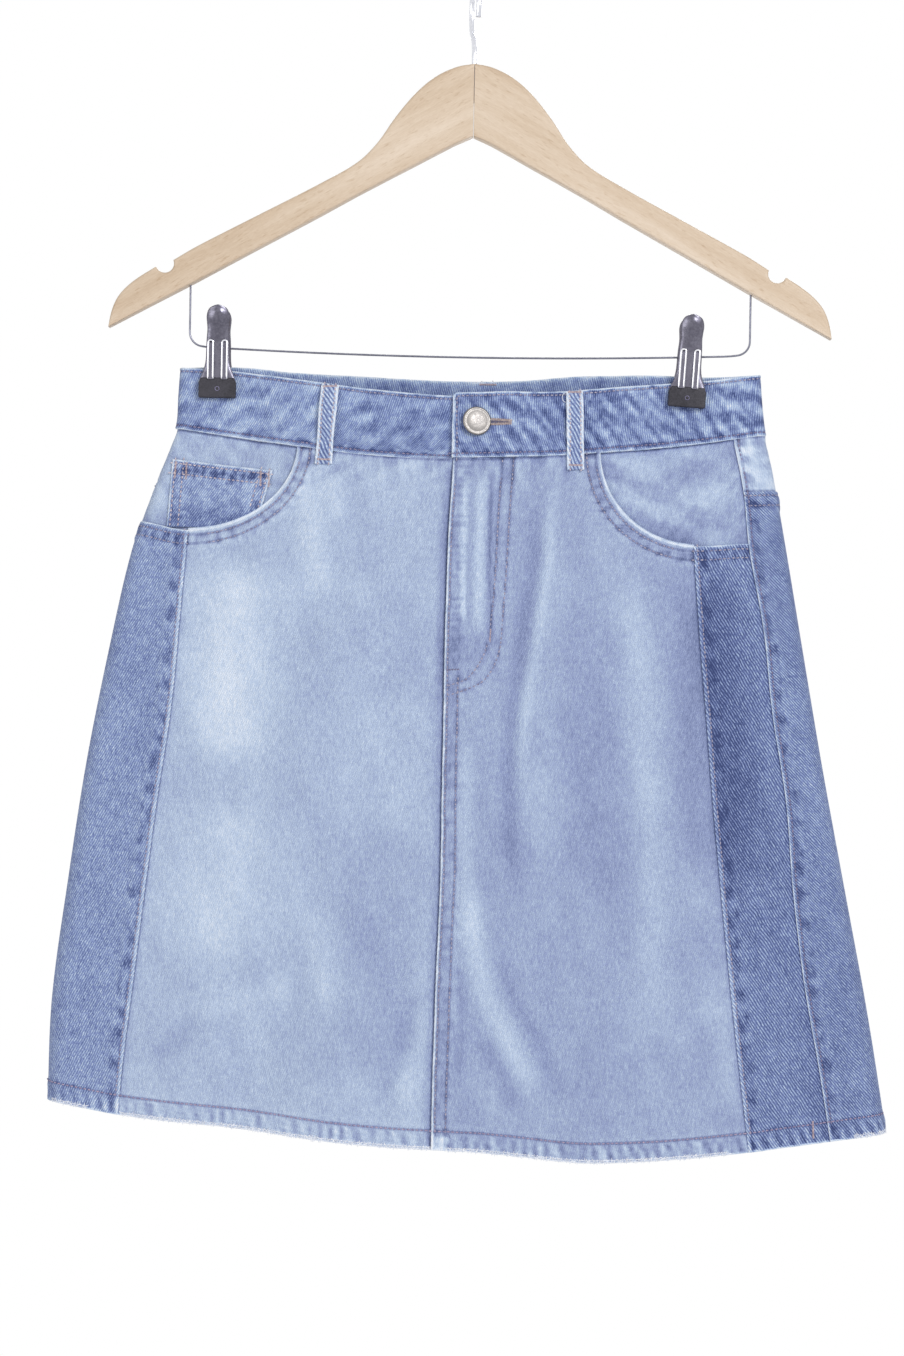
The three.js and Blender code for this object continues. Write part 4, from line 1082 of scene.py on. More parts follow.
pieces["denimBackRight"] = newPiece(
    "back_panel_right", between(beside(backDarkRight, -tuckUnder), beside(centreBack, tuckUnder), yokeZ,
        hemZ),
    {"left": "tuck", "right": "tuck", "top": "felledTwice", "bottom": "hem"}, "lightDenim",
    tones["light"], 7, centre=1.5,
    marks={"left": sideDown(backDarkRight, yokeZ), "right": sideDown(centreBack, yokeZ)},
    under=[(backDarkRight, -1), (centreBack, 1)],
)
pieces["denimBackLeft"] = newPiece(
    "back_panel_left", between(beside(centreBack, -edgeOver), beside(backDarkLeft, tuckUnder), yokeZ, hemZ),
    {"left": "felledTwice", "right": "tuck", "top": "felledTwice", "bottom": "hem"}, "lightDenim",
    tones["light"], 8, centre=1.5,
    marks={"right": sideDown(backDarkLeft, yokeZ)}, under=[(backDarkLeft, 1)],
)
yokeUnder = lower(yokeZ, tuckUnder)
pieces["denimYokeRight"] = newPiece(
    "back_yoke_right", between(beside(sideRight, -edgeOver), beside(centreBack, tuckUnder), seamZ,
        yokeUnder),
    {"left": "sideSeam", "right": "tuck", "top": "tuck", "bottom": "tuck"}, "lightDenim",
    tones["light"] + .02, 9, centre=1.5,
    tint=lambda x, z, side: .1 * smooth(150, 165, x) + .12 * wander(x * .5, z * 1.5, 13,
    46) * smooth(120, 160, x),
    marks={
        "bottom": between(sideRight, centreBack, seamZ, yokeZ)["bottom"],
        "right": between(sideRight, centreBack, seamZ, yokeZ)["right"],
    }, under=[(centreBack, 1)], underLevel=[yokeZ],
)
pieces["denimYokeLeft"] = newPiece(
    "back_yoke_left", between(beside(centreBack, -edgeOver), beside(backEnd, edgeOver), seamZ, yokeUnder),
    {"left": "felledTwice", "right": "sideSeam", "top": "tuck", "bottom": "tuck"}, "lightDenim",
    tones["light"] - .02, 10, centre=1.5,
    marks={"bottom": between(centreBack, backEnd, seamZ, yokeZ)["bottom"]}, underLevel=[yokeZ],
)

pocketDepth, pocketRecess = 13, 2


def facingEnd(mouth, inward):
    return lambda z: roundOfX(mouth["x"] + inward * pocketDepth, z)


def facingLifts(seam, sign):
    # sunk in the pocket, rising to the side seam that it is sewn into
    def lifts(around, z):
        fromSeam = (seam(z) - around) * sign * halfGirth(z)
        sunk = mix(.2, pocketRecess, smooth(-1, 13, fromSeam))
        return -sunk, -sunk - wallThick
    return lifts


def leftFacingTint(x, z, side):
    # deeper shade in the pocket, just above the mouth's lower edge
    smears = .07 * wander((x + z) * 1.1, (x - z) * .5, 15, 47)
    return .08 - .15 * smooth(-318, -338, z) - .06 * bump(x + 130, 30) + .05 * wander(x, z, 13, 41) + smears


def rightFacingTint(x, z, side):
    # painted shade deeper in the pocket, above the mouth's lower edge, with paler patches and smears
    smears = .09 * wander((x + z) * 1.1, (x - z) * .5, 17, 45) + .05 * wander(x, z, 7, 42)
    return .11 - .10 * smooth(-318, -342, z) + .07 * bump(x - 108, 12) + .08 * bump(x - 150, 9) + smears


pieces["denimFacingLeft"] = newPiece(
    "pocket_facing_left", between(beside(sideLeft, -6), facingEnd(mouths["left"], 1), seamZ,
        lambda a: 0 * a - 354.0),
    {"top": "tuck", "left": "tuck"}, "lightDenim", tones["light"], 11, lifts=facingLifts(sideLeft, -1),
    creased=False,
    tint=leftFacingTint, marks={"left": sideDown(sideLeft, seamZ)},
)
pieces["denimFacingRight"] = newPiece(
    "pocket_facing_right", between(facingEnd(mouths["right"], -1), beside(sideRight, 6), seamZ,
        lambda a: 0 * a - 360.0),
    {"top": "tuck", "right": "tuck"}, "lightDenim", tones["facing"], 12, lifts=facingLifts(sideRight, 1),
    creased=False,
    tint=rightFacingTint, marks={"right": sideDown(sideRight, seamZ)},
)

coin = {"leftX": -180.2, "leftTopZ": -296.8, "rightX": -119, "rightTopZ": -303, "lowX": -182.9,
    "lowZ": -336.8, "clear": .9}


def coinEdges():
    rightRound = float(roundOfX(coin["rightX"], coin["rightTopZ"]))
    mouthAround, mouthZ = mouthPlace(mouths["left"], np.linspace(1, 0, 300))

    def left(v):
        z = mix(coin["leftTopZ"], coin["lowZ"], v)
        return roundOfX(mix(coin["leftX"], coin["lowX"], v), z), z

    def onMouth(around):
        return np.maximum(np.interp(around, mouthAround, mouthZ) + coin["clear"], coin["lowZ"] - 1.5)

    def right(v):
        return rightRound + 0 * v, mix(coin["rightTopZ"], onMouth(rightRound), v)

    def top(u):
        return mix(left(0 * u)[0], rightRound, u), mix(coin["leftTopZ"], coin["rightTopZ"], u)

    def bottom(u):
        around = mix(left(0 * u + 1)[0], rightRound, u)
        return around, np.where(u <= 0, coin["lowZ"], onMouth(around))
    return {"left": left, "right": right, "top": top, "bottom": bottom}


pieces["denimCoinPocket"] = newPiece(
    "coin_pocket", coinEdges(), {"left": "coin", "right": "coin", "top": "coinTop"}, "darkDenim",
        tones["coin"], 13, creased=False,
    lifts=lambda around, z: (0 * around - .5, 0 * around - 1.7), restsOn=["denimFacingLeft"],
    # painted shade towards the pocket mouth at the coin pocket's foot, a paler band across its middle and
    # random patches
    tint=lambda x, z, side: -.14 * smooth(-322, -334, z) + .08 * bump(z + 318, 7) + .08 * wander(x, z, 8,
    43),
)

band = {"out": .8, "wall": 3.2, "overRise": 2.2, "underSink": 1.3, "overX": -9.7, "underX": 24,
    "overLift": 1.8, "cornerR": 3.2}


def overEnd(z):
    return roundOfX(band["overX"], z) - 2


def underEnd(z):
    return roundOfX(band["underX"], z) + 0 * z


def bandRaised(around):
    return 1 - smooth(20, 70, (around - overEnd(-270.0)) * halfGirth(-270.0))


def bandTop(around):
    # raised towards the over end, whose corner is rounded
    fromEnd = np.maximum((around - overEnd(-245.0)) * halfGirth(-245.0), 0)
    r = band["cornerR"]
    drop = r - np.sqrt(np.maximum(r * r - np.maximum(r - fromEnd, 0) ** 2, 0))
    return topZ(around) + band["overLift"] * bandRaised(around) - drop


def bandLow(around):
    return seamZ(around) + band["overLift"] * .4 * bandRaised(around)


def bandLifts(around, z):
    over = 1 - smooth(38, 78, (around - overEnd(z)) * halfGirth(z))
    under = 1 - smooth(38, 78, (underEnd(z) - around) * halfGirth(z))
    outer = band["out"] + band["overRise"] * over - band["underSink"] * under
    return outer, outer - band["wall"]


def bandTint(x, z, side):
    # short pale slants on the front, steeper on the right, deeper blue by the clips; upright bars on the back
    left, right = wander((x - z) * 1.9, (x + z) * .8, 21, 21), wander((x + z) * 1.9, (x - z) * .65, 20, 23)
    slant = mix(.15 * left, .27 * np.sign(right) * np.abs(right) ** .8, smooth(-40, 20, x))
    pale = slant + .09 * wander(x, z, 8, 24) + .05 * wander(x, z, 60, 22)
    front = pale + mix(.09, -.05, smooth(-120, -20, x)) + .06 * smooth(90, 130, x) + .1 * bump(x + 24, 12)
    front = front - .08 * bump(x + 165, 14) - .06 * bump(x - 60, 16)
    back = .13 * ripple(x + .15 * z, 17, 25) + .07 * wander(x, z, 12, 26) - .03 + .12 * smooth(3.4, 1.2,
        read(waistLine, "backTop", x) - z)
    return np.where(side < 0, front, back)


pieces["denimWaistband"] = newPiece(
    "waistband", between(overEnd, underEnd, bandTop, bandLow),
        {"top": "band", "bottom": "bandLow", "left": "bandEnd"},
    "bandDenim", tones["band"], 14, centre=-.5, lifts=bandLifts, creased=False, samples=420, tint=bandTint,
    restsOn=["clip_left_front_pad", "clip_right_front_pad", "clip_left_back_pad", "clip_right_back_pad"],
    insideTone=.03,
)

beltLoop = {"width": 10.4, "wall": 1.4}
loops = {
    "denimLoopLeft": {"node": "belt_loop_front_left", "topX": -84.2, "lowX": -87.7, "lowZ": -299,
        "back": False},
    "denimLoopRight": {"node": "belt_loop_front_right", "topX": 64, "lowX": 65.5, "lowZ": -300,
    "back": False},
    "denimLoopBack": {"node": "belt_loop_back", "topX": 11.5, "lowX": 12, "lowZ": -294, "back": True},
}


def loopLifts(around, z):
    inner = read(loopLift, "lift", topZ(around) - z)
    return inner + beltLoop["wall"], inner


def loopPiece(loop, seed):
    sign = -1 if loop["back"] else 1

    def centre(z):
        return sign * roundOfX(mix(loop["topX"], loop["lowX"], (z + 248) / (loop["lowZ"] + 248)), z)
    half = beltLoop["width"] / 2
    edges = between(beside(centre, -half), beside(centre, half), lower(topZ, .4),
        lambda a: 0 * a + loop["lowZ"])
    return newPiece(
        loop["node"], edges, {"left": "loop", "right": "loop"}, "loopTwill", tones["loop"], seed,
            centre=-.5 if loop["back"] else .5,
        lifts=loopLifts, creased=False,
    )


for number, (name, loop) in enumerate(loops.items()):
    pieces[name] = loopPiece(loop, 15 + number)
for name, piece in pieces.items():
    clothSheet(name, piece)
print("cloth pieces made")

# sewing: each row is a path on the cloth, and one tree lays its stitches along it

def sewingTree():
    tree = bpy.data.node_groups.new("sewnRow", "GeometryNodeTree")
    sockets = [
        ("Geometry", "Geometry", None), ("Pitch", "Float", .0027), ("Length", "Float", .0023),
        ("Width", "Float", .0007), ("Thickness", "Float", .0004), ("Turn", "Float", 0.0),
        ("Waver", "Float", .05), ("Uneven", "Float", .1), ("Seed", "Int", 1), ("Thread", "Material", None),
    ]
    for socketName, kind, value in sockets:
        socket = tree.interface.new_socket(name=socketName, in_out="INPUT", socket_type="NodeSocket" + kind)
        if value is not None:
            socket.default_value = value
    tree.interface.new_socket(name="Geometry", in_out="OUTPUT", socket_type="NodeSocketGeometry")
    given, out = tree.nodes.new("NodeGroupInput").outputs, tree.nodes.new("NodeGroupOutput").inputs
    path = node(tree, "GeometryNodeMeshToCurve", {"Mesh": given["Geometry"]}).outputs[0]
    path = node(tree, "GeometryNodeResampleCurve", {"Curve": path, "Length": given["Pitch"]},
        mode="LENGTH").outputs[0]
    up = node(tree, "GeometryNodeInputNamedAttribute", {"Name": "up"},
        data_type="FLOAT_VECTOR").outputs["Attribute"]
    along = node(tree, "GeometryNodeInputTangent").outputs[0]
    aim = node(tree, "FunctionNodeAlignRotationToVector", {"Vector": along}, axis="X").outputs[0]
    aim = node(
        tree, "FunctionNodeAlignRotationToVector", {"Rotation": aim, "Vector": up}, axis="Z",
            pivot_axis="X").outputs[0]
    least = calc(tree, "MULTIPLY", given["Waver"], -1.0)
    waver = node(
        tree, "FunctionNodeRandomValue",
            {"Min": least, "Max": given["Waver"], "Seed": given["Seed"]}).outputs["Value"]
    angle = calc(tree, "ADD", given["Turn"], waver)
    turn = node(tree, "FunctionNodeAxisAngleToRotation", {"Axis": (0, 0, 1), "Angle": angle}).outputs[0]
    aim = node(
        tree, "FunctionNodeRotateRotation", {"Rotation": aim, "Rotate By": turn},
            rotation_space="LOCAL").outputs[0]
    shortest, longest = calc(tree, "SUBTRACT", 1.0, given["Uneven"]), calc(tree, "ADD", 1.0,
        given["Uneven"])
    other = calc(tree, "ADD", given["Seed"], 7.0)
    uneven = node(
        tree, "FunctionNodeRandomValue", {"Min": shortest, "Max": longest, "Seed": other}).outputs["Value"]
    length = calc(tree, "MULTIPLY", given["Length"], uneven)
    size = node(
        tree, "ShaderNodeCombineXYZ", {"X": length, "Y": given["Width"],
            "Z": given["Thickness"]}).outputs[0]
    stitch = node(tree, "GeometryNodeMeshUVSphere",
        {"Segments": 8, "Rings": 5, "Radius": .5}).outputs["Mesh"]
    laid = node(tree, "GeometryNodeInstanceOnPoints", {
        "Points": path, "Instance": stitch, "Rotation": aim, "Scale": size}).outputs[0]
    laid = node(tree, "GeometryNodeRealizeInstances", {"Geometry": laid}).outputs[0]
    laid = node(tree, "GeometryNodeSetShadeSmooth", {"Geometry": laid}).outputs[0]
    laid = node(tree, "GeometryNodeSetMaterial", {"Geometry": laid, "Material": given["Thread"]}).outputs[0]
    tree.links.new(laid, out["Geometry"])
    return tree


def sew(name, rows, thread, look):
    # lays one kind of stitch along all its rows and keeps the result as a plain mesh
    points, ups, links = [], [], []
    for path, up in rows:
        start = len(points)
        points.extend(np.asarray(path) * mm)
        ups.extend(up)
        links.extend((i, i + 1) for i in range(start, len(points) - 1))
    mesh = bpy.data.meshes.new(name + "Path")
    mesh.from_pydata([tuple(p) for p in points], links, [])
    mesh.attributes.new("up", "FLOAT_VECTOR", "POINT").data.foreach_set("vector",
        np.ravel(ups).astype(np.float32))
    holder = bpy.data.objects.new(name + "Path", mesh)
    scene.collection.objects.link(holder)
    live = holder.modifiers.new("sewing", "NODES")
    live.node_group = sewnRow
    values = {**{key: value * mm for key,
        value in look.items() if key in ("Pitch", "Length", "Width", "Thickness")},
              **{key: value for key, value in look.items() if key in ("Turn", "Waver", "Uneven", "Seed")},
              "Thread": thread}
    for item in sewnRow.interface.items_tree:
        if item.in_out == "INPUT" and item.name in values:
            live[item.identifier] = values[item.name]
    evaluated = holder.evaluated_get(bpy.context.evaluated_depsgraph_get())
    sewn = bpy.data.meshes.new_from_object(evaluated)
    bpy.data.objects.remove(holder)
    sewn.materials.clear()
    sewn.materials.append(thread)
    made = bpy.data.objects.new(name, sewn)
    scene.collection.objects.link(made)
    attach(made, "root")
    print("  ", name, len(sewn.polygons), "faces")
    return made


inward = {"left": (1, -.01), "right": (-1, -.01), "top": (0, -1), "bottom": (0, 1)}


def seamRow(name, edge, distance, start=0.0, end=1.0):
    piece = pieces[name]
    line = spline(edgeLine(piece, edge), 3.0)
    if edge in ("left", "right") and "hem" in piece["styles"].values():
        end = min(end, 1 - hemHeight / (3.0 * len(line)))
    line = line[int(start * len(line)):max(int(end * len(line)), 2)]
    ahead = np.gradient(line, axis=0)
    ahead = ahead / np.linalg.norm(ahead, axis=1, keepdims=True)
    beside = np.stack([-ahead[:, 1], ahead[:, 0]], axis=1)
    beside = beside * np.sign((beside @ np.array(inward[edge])).mean())
    line = line + beside * distance
    return pointAt(piece, *fromFlat(piece, line[:, 0], line[:, 1]), extra=.1)


def drawnRow(name, points, step=2.0, extra=.12, turn=0):
    # a row through x, z points on the front or, for a back piece, on the back
    line = spline(points, step)
    around = roundOfX(line[:, 0], line[:, 1])
    around = 2 - around if pieces[name]["centre"] == 1.5 else around + turn
    return pointAt(pieces[name], around, line[:, 1], extra)


def threadMaterial(name, colour, dark):
    made, tree, shader = newMaterial(name, colour, .7)
    place = node(tree, "ShaderNodeTexCoord").outputs["Object"]
    patch = remap(tree, noise(tree, place, 900.0, 2.0, .7), .35, .65)
    worn = node(tree, "ShaderNodeMixRGB", {"Fac": patch, "Color1": colour, "Color2": dark})
    tree.links.new(worn.outputs["Color"], shader.inputs["Base Color"])
    bumpFrom(tree, shader, noise(tree, place, 2500.0, 2.0), .4, .0001)
    return made


sewnRow = sewingTree()
threads = {
    "taupe": threadMaterial("taupeThread", srgb(178, 172, 188), srgb(106, 106, 140)),
    "cream": threadMaterial("creamThread", srgb(218, 208, 212), srgb(140, 130, 152)),
    "mauve": threadMaterial("mauveThread", srgb(178, 162, 184), srgb(118, 110, 146)),
    "plum": threadMaterial("plumThread", srgb(150, 142, 168), srgb(82, 80, 118)),
    "peach": threadMaterial("peachThread", srgb(218, 192, 186), srgb(176, 158, 164)),
    "tan": threadMaterial("tanThread", srgb(206, 186, 176), srgb(168, 148, 142)),
    # dark thread for the buttonhole slit, painted shade in its opening
    "slitShade": threadMaterial("slitShadeThread", srgb(96, 92, 116), srgb(70, 70, 96)),
    "white": threadMaterial("frayedThread", srgb(242, 244, 249), srgb(204, 211, 228)),
}
stitchLook = {"Pitch": 2.7, "Length": 2.15, "Width": 1.0, "Thickness": .42, "Turn": 0.0, "Waver": .07,
    "Uneven": .1, "Seed": 3}
tackLook = {"Pitch": .6, "Length": 1.5, "Width": .5, "Thickness": .5, "Turn": 1.5708, "Waver": .12,
    "Uneven": .15, "Seed": 5}
frayLook = {"Pitch": .75, "Length": 2.4, "Width": .5, "Thickness": .42, "Turn": .5, "Waver": 1.3,
    "Uneven": .7, "Seed": 9}

taupeRows = [
    ("denimFrontLeft", "left", 3.0), ("denimFrontLeft", "left", 8.4),
    ("denimFrontRight", "right", 3.0), ("denimFrontRight", "right", 8.4),
    ("denimFrontRight", "left", 2.0), ("denimFrontRight", "left", 8.5, .322),
    ("denimSideFrontLeft", "right", 2.3), ("denimSideFrontLeft", "top", 3.0),
    ("denimSideFrontLeft", "top", 8.4),
    ("denimSideFrontRight", "left", 2.3), ("denimSideFrontRight", "top", 3.0),
    ("denimSideFrontRight", "top", 8.4),
    ("denimSideBackRight", "right", 2.3), ("denimSideBackRight", "top", 2.4),
    ("denimSideBackRight", "top", 8.4),
    ("denimSideBackLeft", "left", 2.3), ("denimSideBackLeft", "top", 2.4),
    ("denimSideBackLeft", "top", 8.4),
    ("denimBackRight", "top", 2.4), ("denimBackRight", "top", 8.4),
    ("denimBackLeft", "top", 2.4), ("denimBackLeft", "top", 8.4),
    ("denimBackLeft", "left", 2.4), ("denimBackLeft", "left", 8.4),
    ("denimYokeLeft", "left", 2.4), ("denimYokeLeft", "left", 8.4),
    ("denimWaistband", "top", 2.1), ("denimWaistband", "left", 2.6),
]
creamRows = [("denimCoinPocket", edge, inset) for edge in ("left", "right") for inset in (1.9, 6.9)]
creamRows += [("denimCoinPocket", "top", 2.4), ("denimCoinPocket", "top", 8.6)]
creamRows += [(name, edge, 1.9) for name in loops for edge in ("left", "right")]
plumRows = [("denimWaistband", "bottom", 2.3), ("denimSideBackRight", "left", 2.3),
    ("denimSideBackLeft", "right", 2.3)]
plumRows += [("denimYokeRight", "left", 2.3), ("denimYokeLeft", "right", 2.3)]
hemmed = [name for name, piece in pieces.items() if "hem" in piece["styles"].values()]
hemRows = [(name, "bottom", 11.8) for name in hemmed]
tacks = [
    ("denimFrontRight", (15.4, -398), (15.0, -405.5)),
        ("denimSideFrontRight", (216.4, -693), (216.9, -703)),
    ("denimCoinPocket", (-178, -298.5), (-178.6, -308)),
    ("denimCoinPocket", (-171.5, -299), (-171.8, -309)),
    ("denimCoinPocket", (-126, -303.5), (-126, -312.5)), ("denimCoinPocket", (-121, -304), (-121, -313)),
]


def loopTack(name, down):
    # across a belt loop, down millimetres above its lower end or below its top
    loop = loops[name]
    z = loop["lowZ"] + down
    middle = mix(loop["topX"], loop["lowX"], (z + 248) / (loop["lowZ"] + 248))
    half = beltLoop["width"] / 2 - 1.2
    line = spline([(middle - half, z), (middle + half, z)], 1.5)
    around = roundOfX(line[:, 0], line[:, 1]) * (-1 if loop["back"] else 1)
    return pointAt(pieces[name], around, line[:, 1], extra=.1)


taupe = [seamRow(*row) for row in taupeRows]
taupe += [drawnRow("denimFrontRight", flyOuter), drawnRow("denimFrontRight", flyInner)]
sew("seamStitches", taupe, threads["taupe"], stitchLook)
sew("pocketStitches", [seamRow(*row) for row in creamRows], threads["cream"], stitchLook)
sew("bandStitches", [seamRow(*row) for row in plumRows], threads["plum"], stitchLook)
sew("hemStitches", [seamRow(*row) for row in hemRows], threads["mauve"], stitchLook)
tackRows = [drawnRow(name, (a, b), 1.0) for name, a, b in tacks]
tackRows += [loopTack(name, down) for name in loops for down in (2.6, 47.5)]
backTack = -roundOfX(np.linspace(6.5, 16.5, 12), -246.5)
tackRows.append(pointAt(pieces["denimWaistband"], backTack, topZ(backTack) - 1.7, .1, inside=True))
sew("barTacks", tackRows, threads["peach"], tackLook)
sew("flySetting", [drawnRow("denimFrontRight", ((-10.2, -422.8), (-3.6, -422.4)), 1.0)], threads["plum"],
    {**stitchLook, "Pitch": 1.6, "Length": 1.5})
hole = {"z": -271.8, "fromX": 11.6, "toX": 24.6, "wide": 1.7, "narrow": .95}
holeRows = [
    drawnRow("denimWaistband", (
        (hole["fromX"], hole["z"] + side * hole["wide"]),
            (hole["toX"], hole["z"] + side * hole["narrow"])), 1.0, .15, -2)
    for side in (-1, 1)
]
holeEnd = ((hole["toX"] + 1, hole["z"] + 1.3), (hole["toX"] + 1, hole["z"] - 1.3))
holeRows.append(drawnRow("denimWaistband", holeEnd, .7, .15, -2))
sew("buttonholeStitches", holeRows, threads["tan"], {**tackLook, "Length": 2.0})
# the slit is a row of dark stitches: painted shade in the cut opening
slit = ((hole["fromX"], hole["z"]), (hole["toX"], hole["z"]))
sew("buttonholeSlit", [drawnRow("denimWaistband", slit, 1.0, .05, -2)], threads["slitShade"],
    {**tackLook, "Length": 1.4, "Width": .9, "Thickness": .3})
frayed = [seamRow(name, "bottom", inset, a, b) for name, a, b in (
    ("denimFrontLeft", .05, .97), ("denimFrontRight", .06, .92), ("denimSideFrontLeft", .3, .7),
    ("denimBackRight", .1, .8), ("denimBackLeft", .3, .95),
    ("denimSideBackRight", .2, .6)) for inset in (.5, 1.7)]
sew("hemFray", frayed, threads["white"], frayLook)
snag, _ = drawnRow("denimWaistband",
    ((58.8, -252.8), (57.2, -253.8), (56.7, -256), (57.4, -258.2), (58.8, -258.8)), .4, .7, -2)
print("sewing made")


# hanger, clips and button

def plainMesh(name, points, faces, material, slot, replaced):
    mesh = bpy.data.meshes.new(name)
    mesh.from_pydata([tuple(p) for p in np.asarray(points, float) * mm], [], faces)
    mesh.materials.append(material)
    for polygon in mesh.polygons:
        polygon.use_smooth = len(polygon.vertices) <= 4
    made = bpy.data.objects.new(name, mesh)
    scene.collection.objects.link(made)
    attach(made, "root")
    if replaced:
        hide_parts(replaced)
    return made


def ringFaces(rings, sides):
    # quads between rings of points, closed round, with a face on each end
    faces = []
    for i in range(rings - 1):
        for j in range(sides):
            k = (j + 1) % sides
            faces.append((i * sides + j, i * sides + k, (i + 1) * sides + k, (i + 1) * sides + j))
    faces.append(tuple(reversed(range(sides))))
    faces.append(tuple((rings - 1) * sides + j for j in range(sides)))
    return faces


def wireTube(path, radius, sides=20):
    path = np.asarray(path, float)
    ahead = np.gradient(path, axis=0)
    ahead = ahead / np.linalg.norm(ahead, axis=1, keepdims=True)
    across = np.array([0.0, 1.0, 0.0]) if abs(ahead[0][1]) < .7 else np.array([1.0, 0.0, 0.0])
    points = []
    turns = np.linspace(0, 2 * math.pi, sides, endpoint=False)
    for place, way in zip(path, ahead):
        across = across - way * (across @ way)
        across = across / np.linalg.norm(across)
        other = np.cross(way, across)
        points.extend(place + radius * (math.cos(t) * across + math.sin(t) * other) for t in turns)
    return points, ringFaces(len(path), sides)


def beech(name, leanDeg):
    made, tree, shader = newMaterial(name, srgb(224, 205, 182), .5)
    place = node(tree, "ShaderNodeTexCoord").outputs["Object"]
    turned = node(tree, "ShaderNodeMapping",
        {"Vector": place, "Rotation": (0, math.radians(leanDeg), 0)}).outputs[0]
    grain = placed(tree, beechGrain, {"Place": turned})
    tree.links.new(grain["Colour"], shader.inputs["Base Color"])
    shader.inputs["Coat Weight"].default_value = .15
    shader.inputs["Coat Roughness"].default_value = .3
    bumpFrom(tree, shader, grain["Height"], .25, .0002)
    return made


def grainGroup():
    # pale beech: long figure, short dark flecks and fine pores along X
    tree, given, out = newGroup("beechGrain", [("Place", "Vector", None)],
        [("Colour", "Color"), ("Height", "Float")])
    figure = noise(tree, given["Place"], 1.0, 5.0, .62, (9, 90, 90))
    bands = noise(tree, given["Place"], 1.0, 3.0, .5, (3, 26, 60))
    flecks = remap(tree, noise(tree, given["Place"], 1.0, 3.0, .6, (130, 800, 800)), .56, .72)
    pores = noise(tree, given["Place"], 1.0, 3.0, .7, (260, 2600, 2600))
    tone = calc(tree, "MULTIPLY_ADD", bands, .55, calc(tree, "MULTIPLY", figure, .6))
    tone = calc(tree, "MULTIPLY_ADD", flecks, -.22, tone)
    tone = calc(tree, "MULTIPLY_ADD", pores, .42, tone)
    ramp = node(tree, "ShaderNodeValToRGB", {0: tone})
    ramp.color_ramp.elements[0].position = .48
    ramp.color_ramp.elements[0].color = srgb(186, 160, 132)
    ramp.color_ramp.elements[1].position = 1.0
    ramp.color_ramp.elements[1].color = srgb(224, 207, 188)
    ramp.color_ramp.elements.new(.74).color = srgb(207, 186, 162)
    tree.links.new(ramp.outputs["Color"], out["Colour"])
    tree.links.new(calc(tree, "MULTIPLY_ADD", flecks, -.6, pores), out["Height"])
    return tree


def scuffGroup():
    # faint handling marks for metal, enamel and rubber: a mask and a height
    tree, given, out = newGroup("handlingMarks", [("Place", "Vector", None), ("Scale", "Float", 300.0)],
                                [("Marks", "Float"), ("Height", "Float")])
    broad = noise(tree, given["Place"], 60.0, 3.0, .6)
    fine = node(tree, "ShaderNodeTexNoise",
        {"Vector": given["Place"], "Scale": given["Scale"], "Detail": 4.0}).outputs["Fac"]
    tree.links.new(calc(tree, "MULTIPLY_ADD", fine, .5, calc(tree, "MULTIPLY", broad, .5)), out["Marks"])
    tree.links.new(fine, out["Height"])
    return tree


beechGrain, handlingMarks = grainGroup(), scuffGroup()


def hardFinish(name, look):
    made, tree, shader = newMaterial(name, srgb(*look["light"]), look["rough"], look["metal"])
    place = node(tree, "ShaderNodeTexCoord").outputs["Object"]
    marks = placed(tree, handlingMarks, {"Place": place, "Scale": look["scale"]})
    worn = remap(tree, marks["Marks"], .35, .68)
    colours = {"Fac": worn, "Color1": srgb(*look["light"]), "Color2": srgb(*look["dark"])}
    blend = node(tree, "ShaderNodeMixRGB", colours)
    tree.links.new(blend.outputs["Color"], shader.inputs["Base Color"])
    rough = remap(tree, marks["Marks"], .3, .7, look["rough"] * .75, look["rough"] * 1.3)
    tree.links.new(rough, shader.inputs["Roughness"])
    shader.inputs["Coat Weight"].default_value = look.get("coat", 0.0)
    bumpFrom(tree, shader, marks["Height"], look["relief"], .00005)
    return made


hardLooks = {
    "wireSteel": {"light": (236, 237, 242), "dark": (214, 216, 224), "metal": 1.0, "rough": .2,
        "scale": 900.0, "relief": .05},
    "barSteel": {"light": (138, 139, 152), "dark": (104, 105, 120), "metal": 1.0, "rough": .35,
    "scale": 900.0, "relief": .05},
    "chromeSpring": {"light": (248, 248, 252), "dark": (222, 224, 232), "metal": 1.0, "rough": .14,
    "scale": 500.0, "relief": .05},
    "blackEnamel": {"light": (118, 116, 130), "dark": (84, 82, 96), "metal": .9, "rough": .3,
    "scale": 700.0, "relief": .1, "coat": .5},
    "blackRubber": {"light": (50, 48, 58), "dark": (34, 33, 40), "metal": 0.0, "rough": .62,
    "scale": 1600.0, "relief": .5},
    "ringGrey": {"light": (128, 124, 150), "dark": (96, 92, 118), "metal": .6, "rough": .45,
    "scale": 900.0, "relief": .1},
    "domeNickel": {"light": (146, 142, 139), "dark": (124, 121, 120), "metal": .9, "rough": .36,
    "scale": 1400.0, "relief": .2},
    "zipBrass": {"light": (176, 164, 140), "dark": (132, 120, 100), "metal": 1.0, "rough": .35,
    "scale": 800.0, "relief": .2},
}
hard = {name: hardFinish(name, look) for name, look in hardLooks.items()}

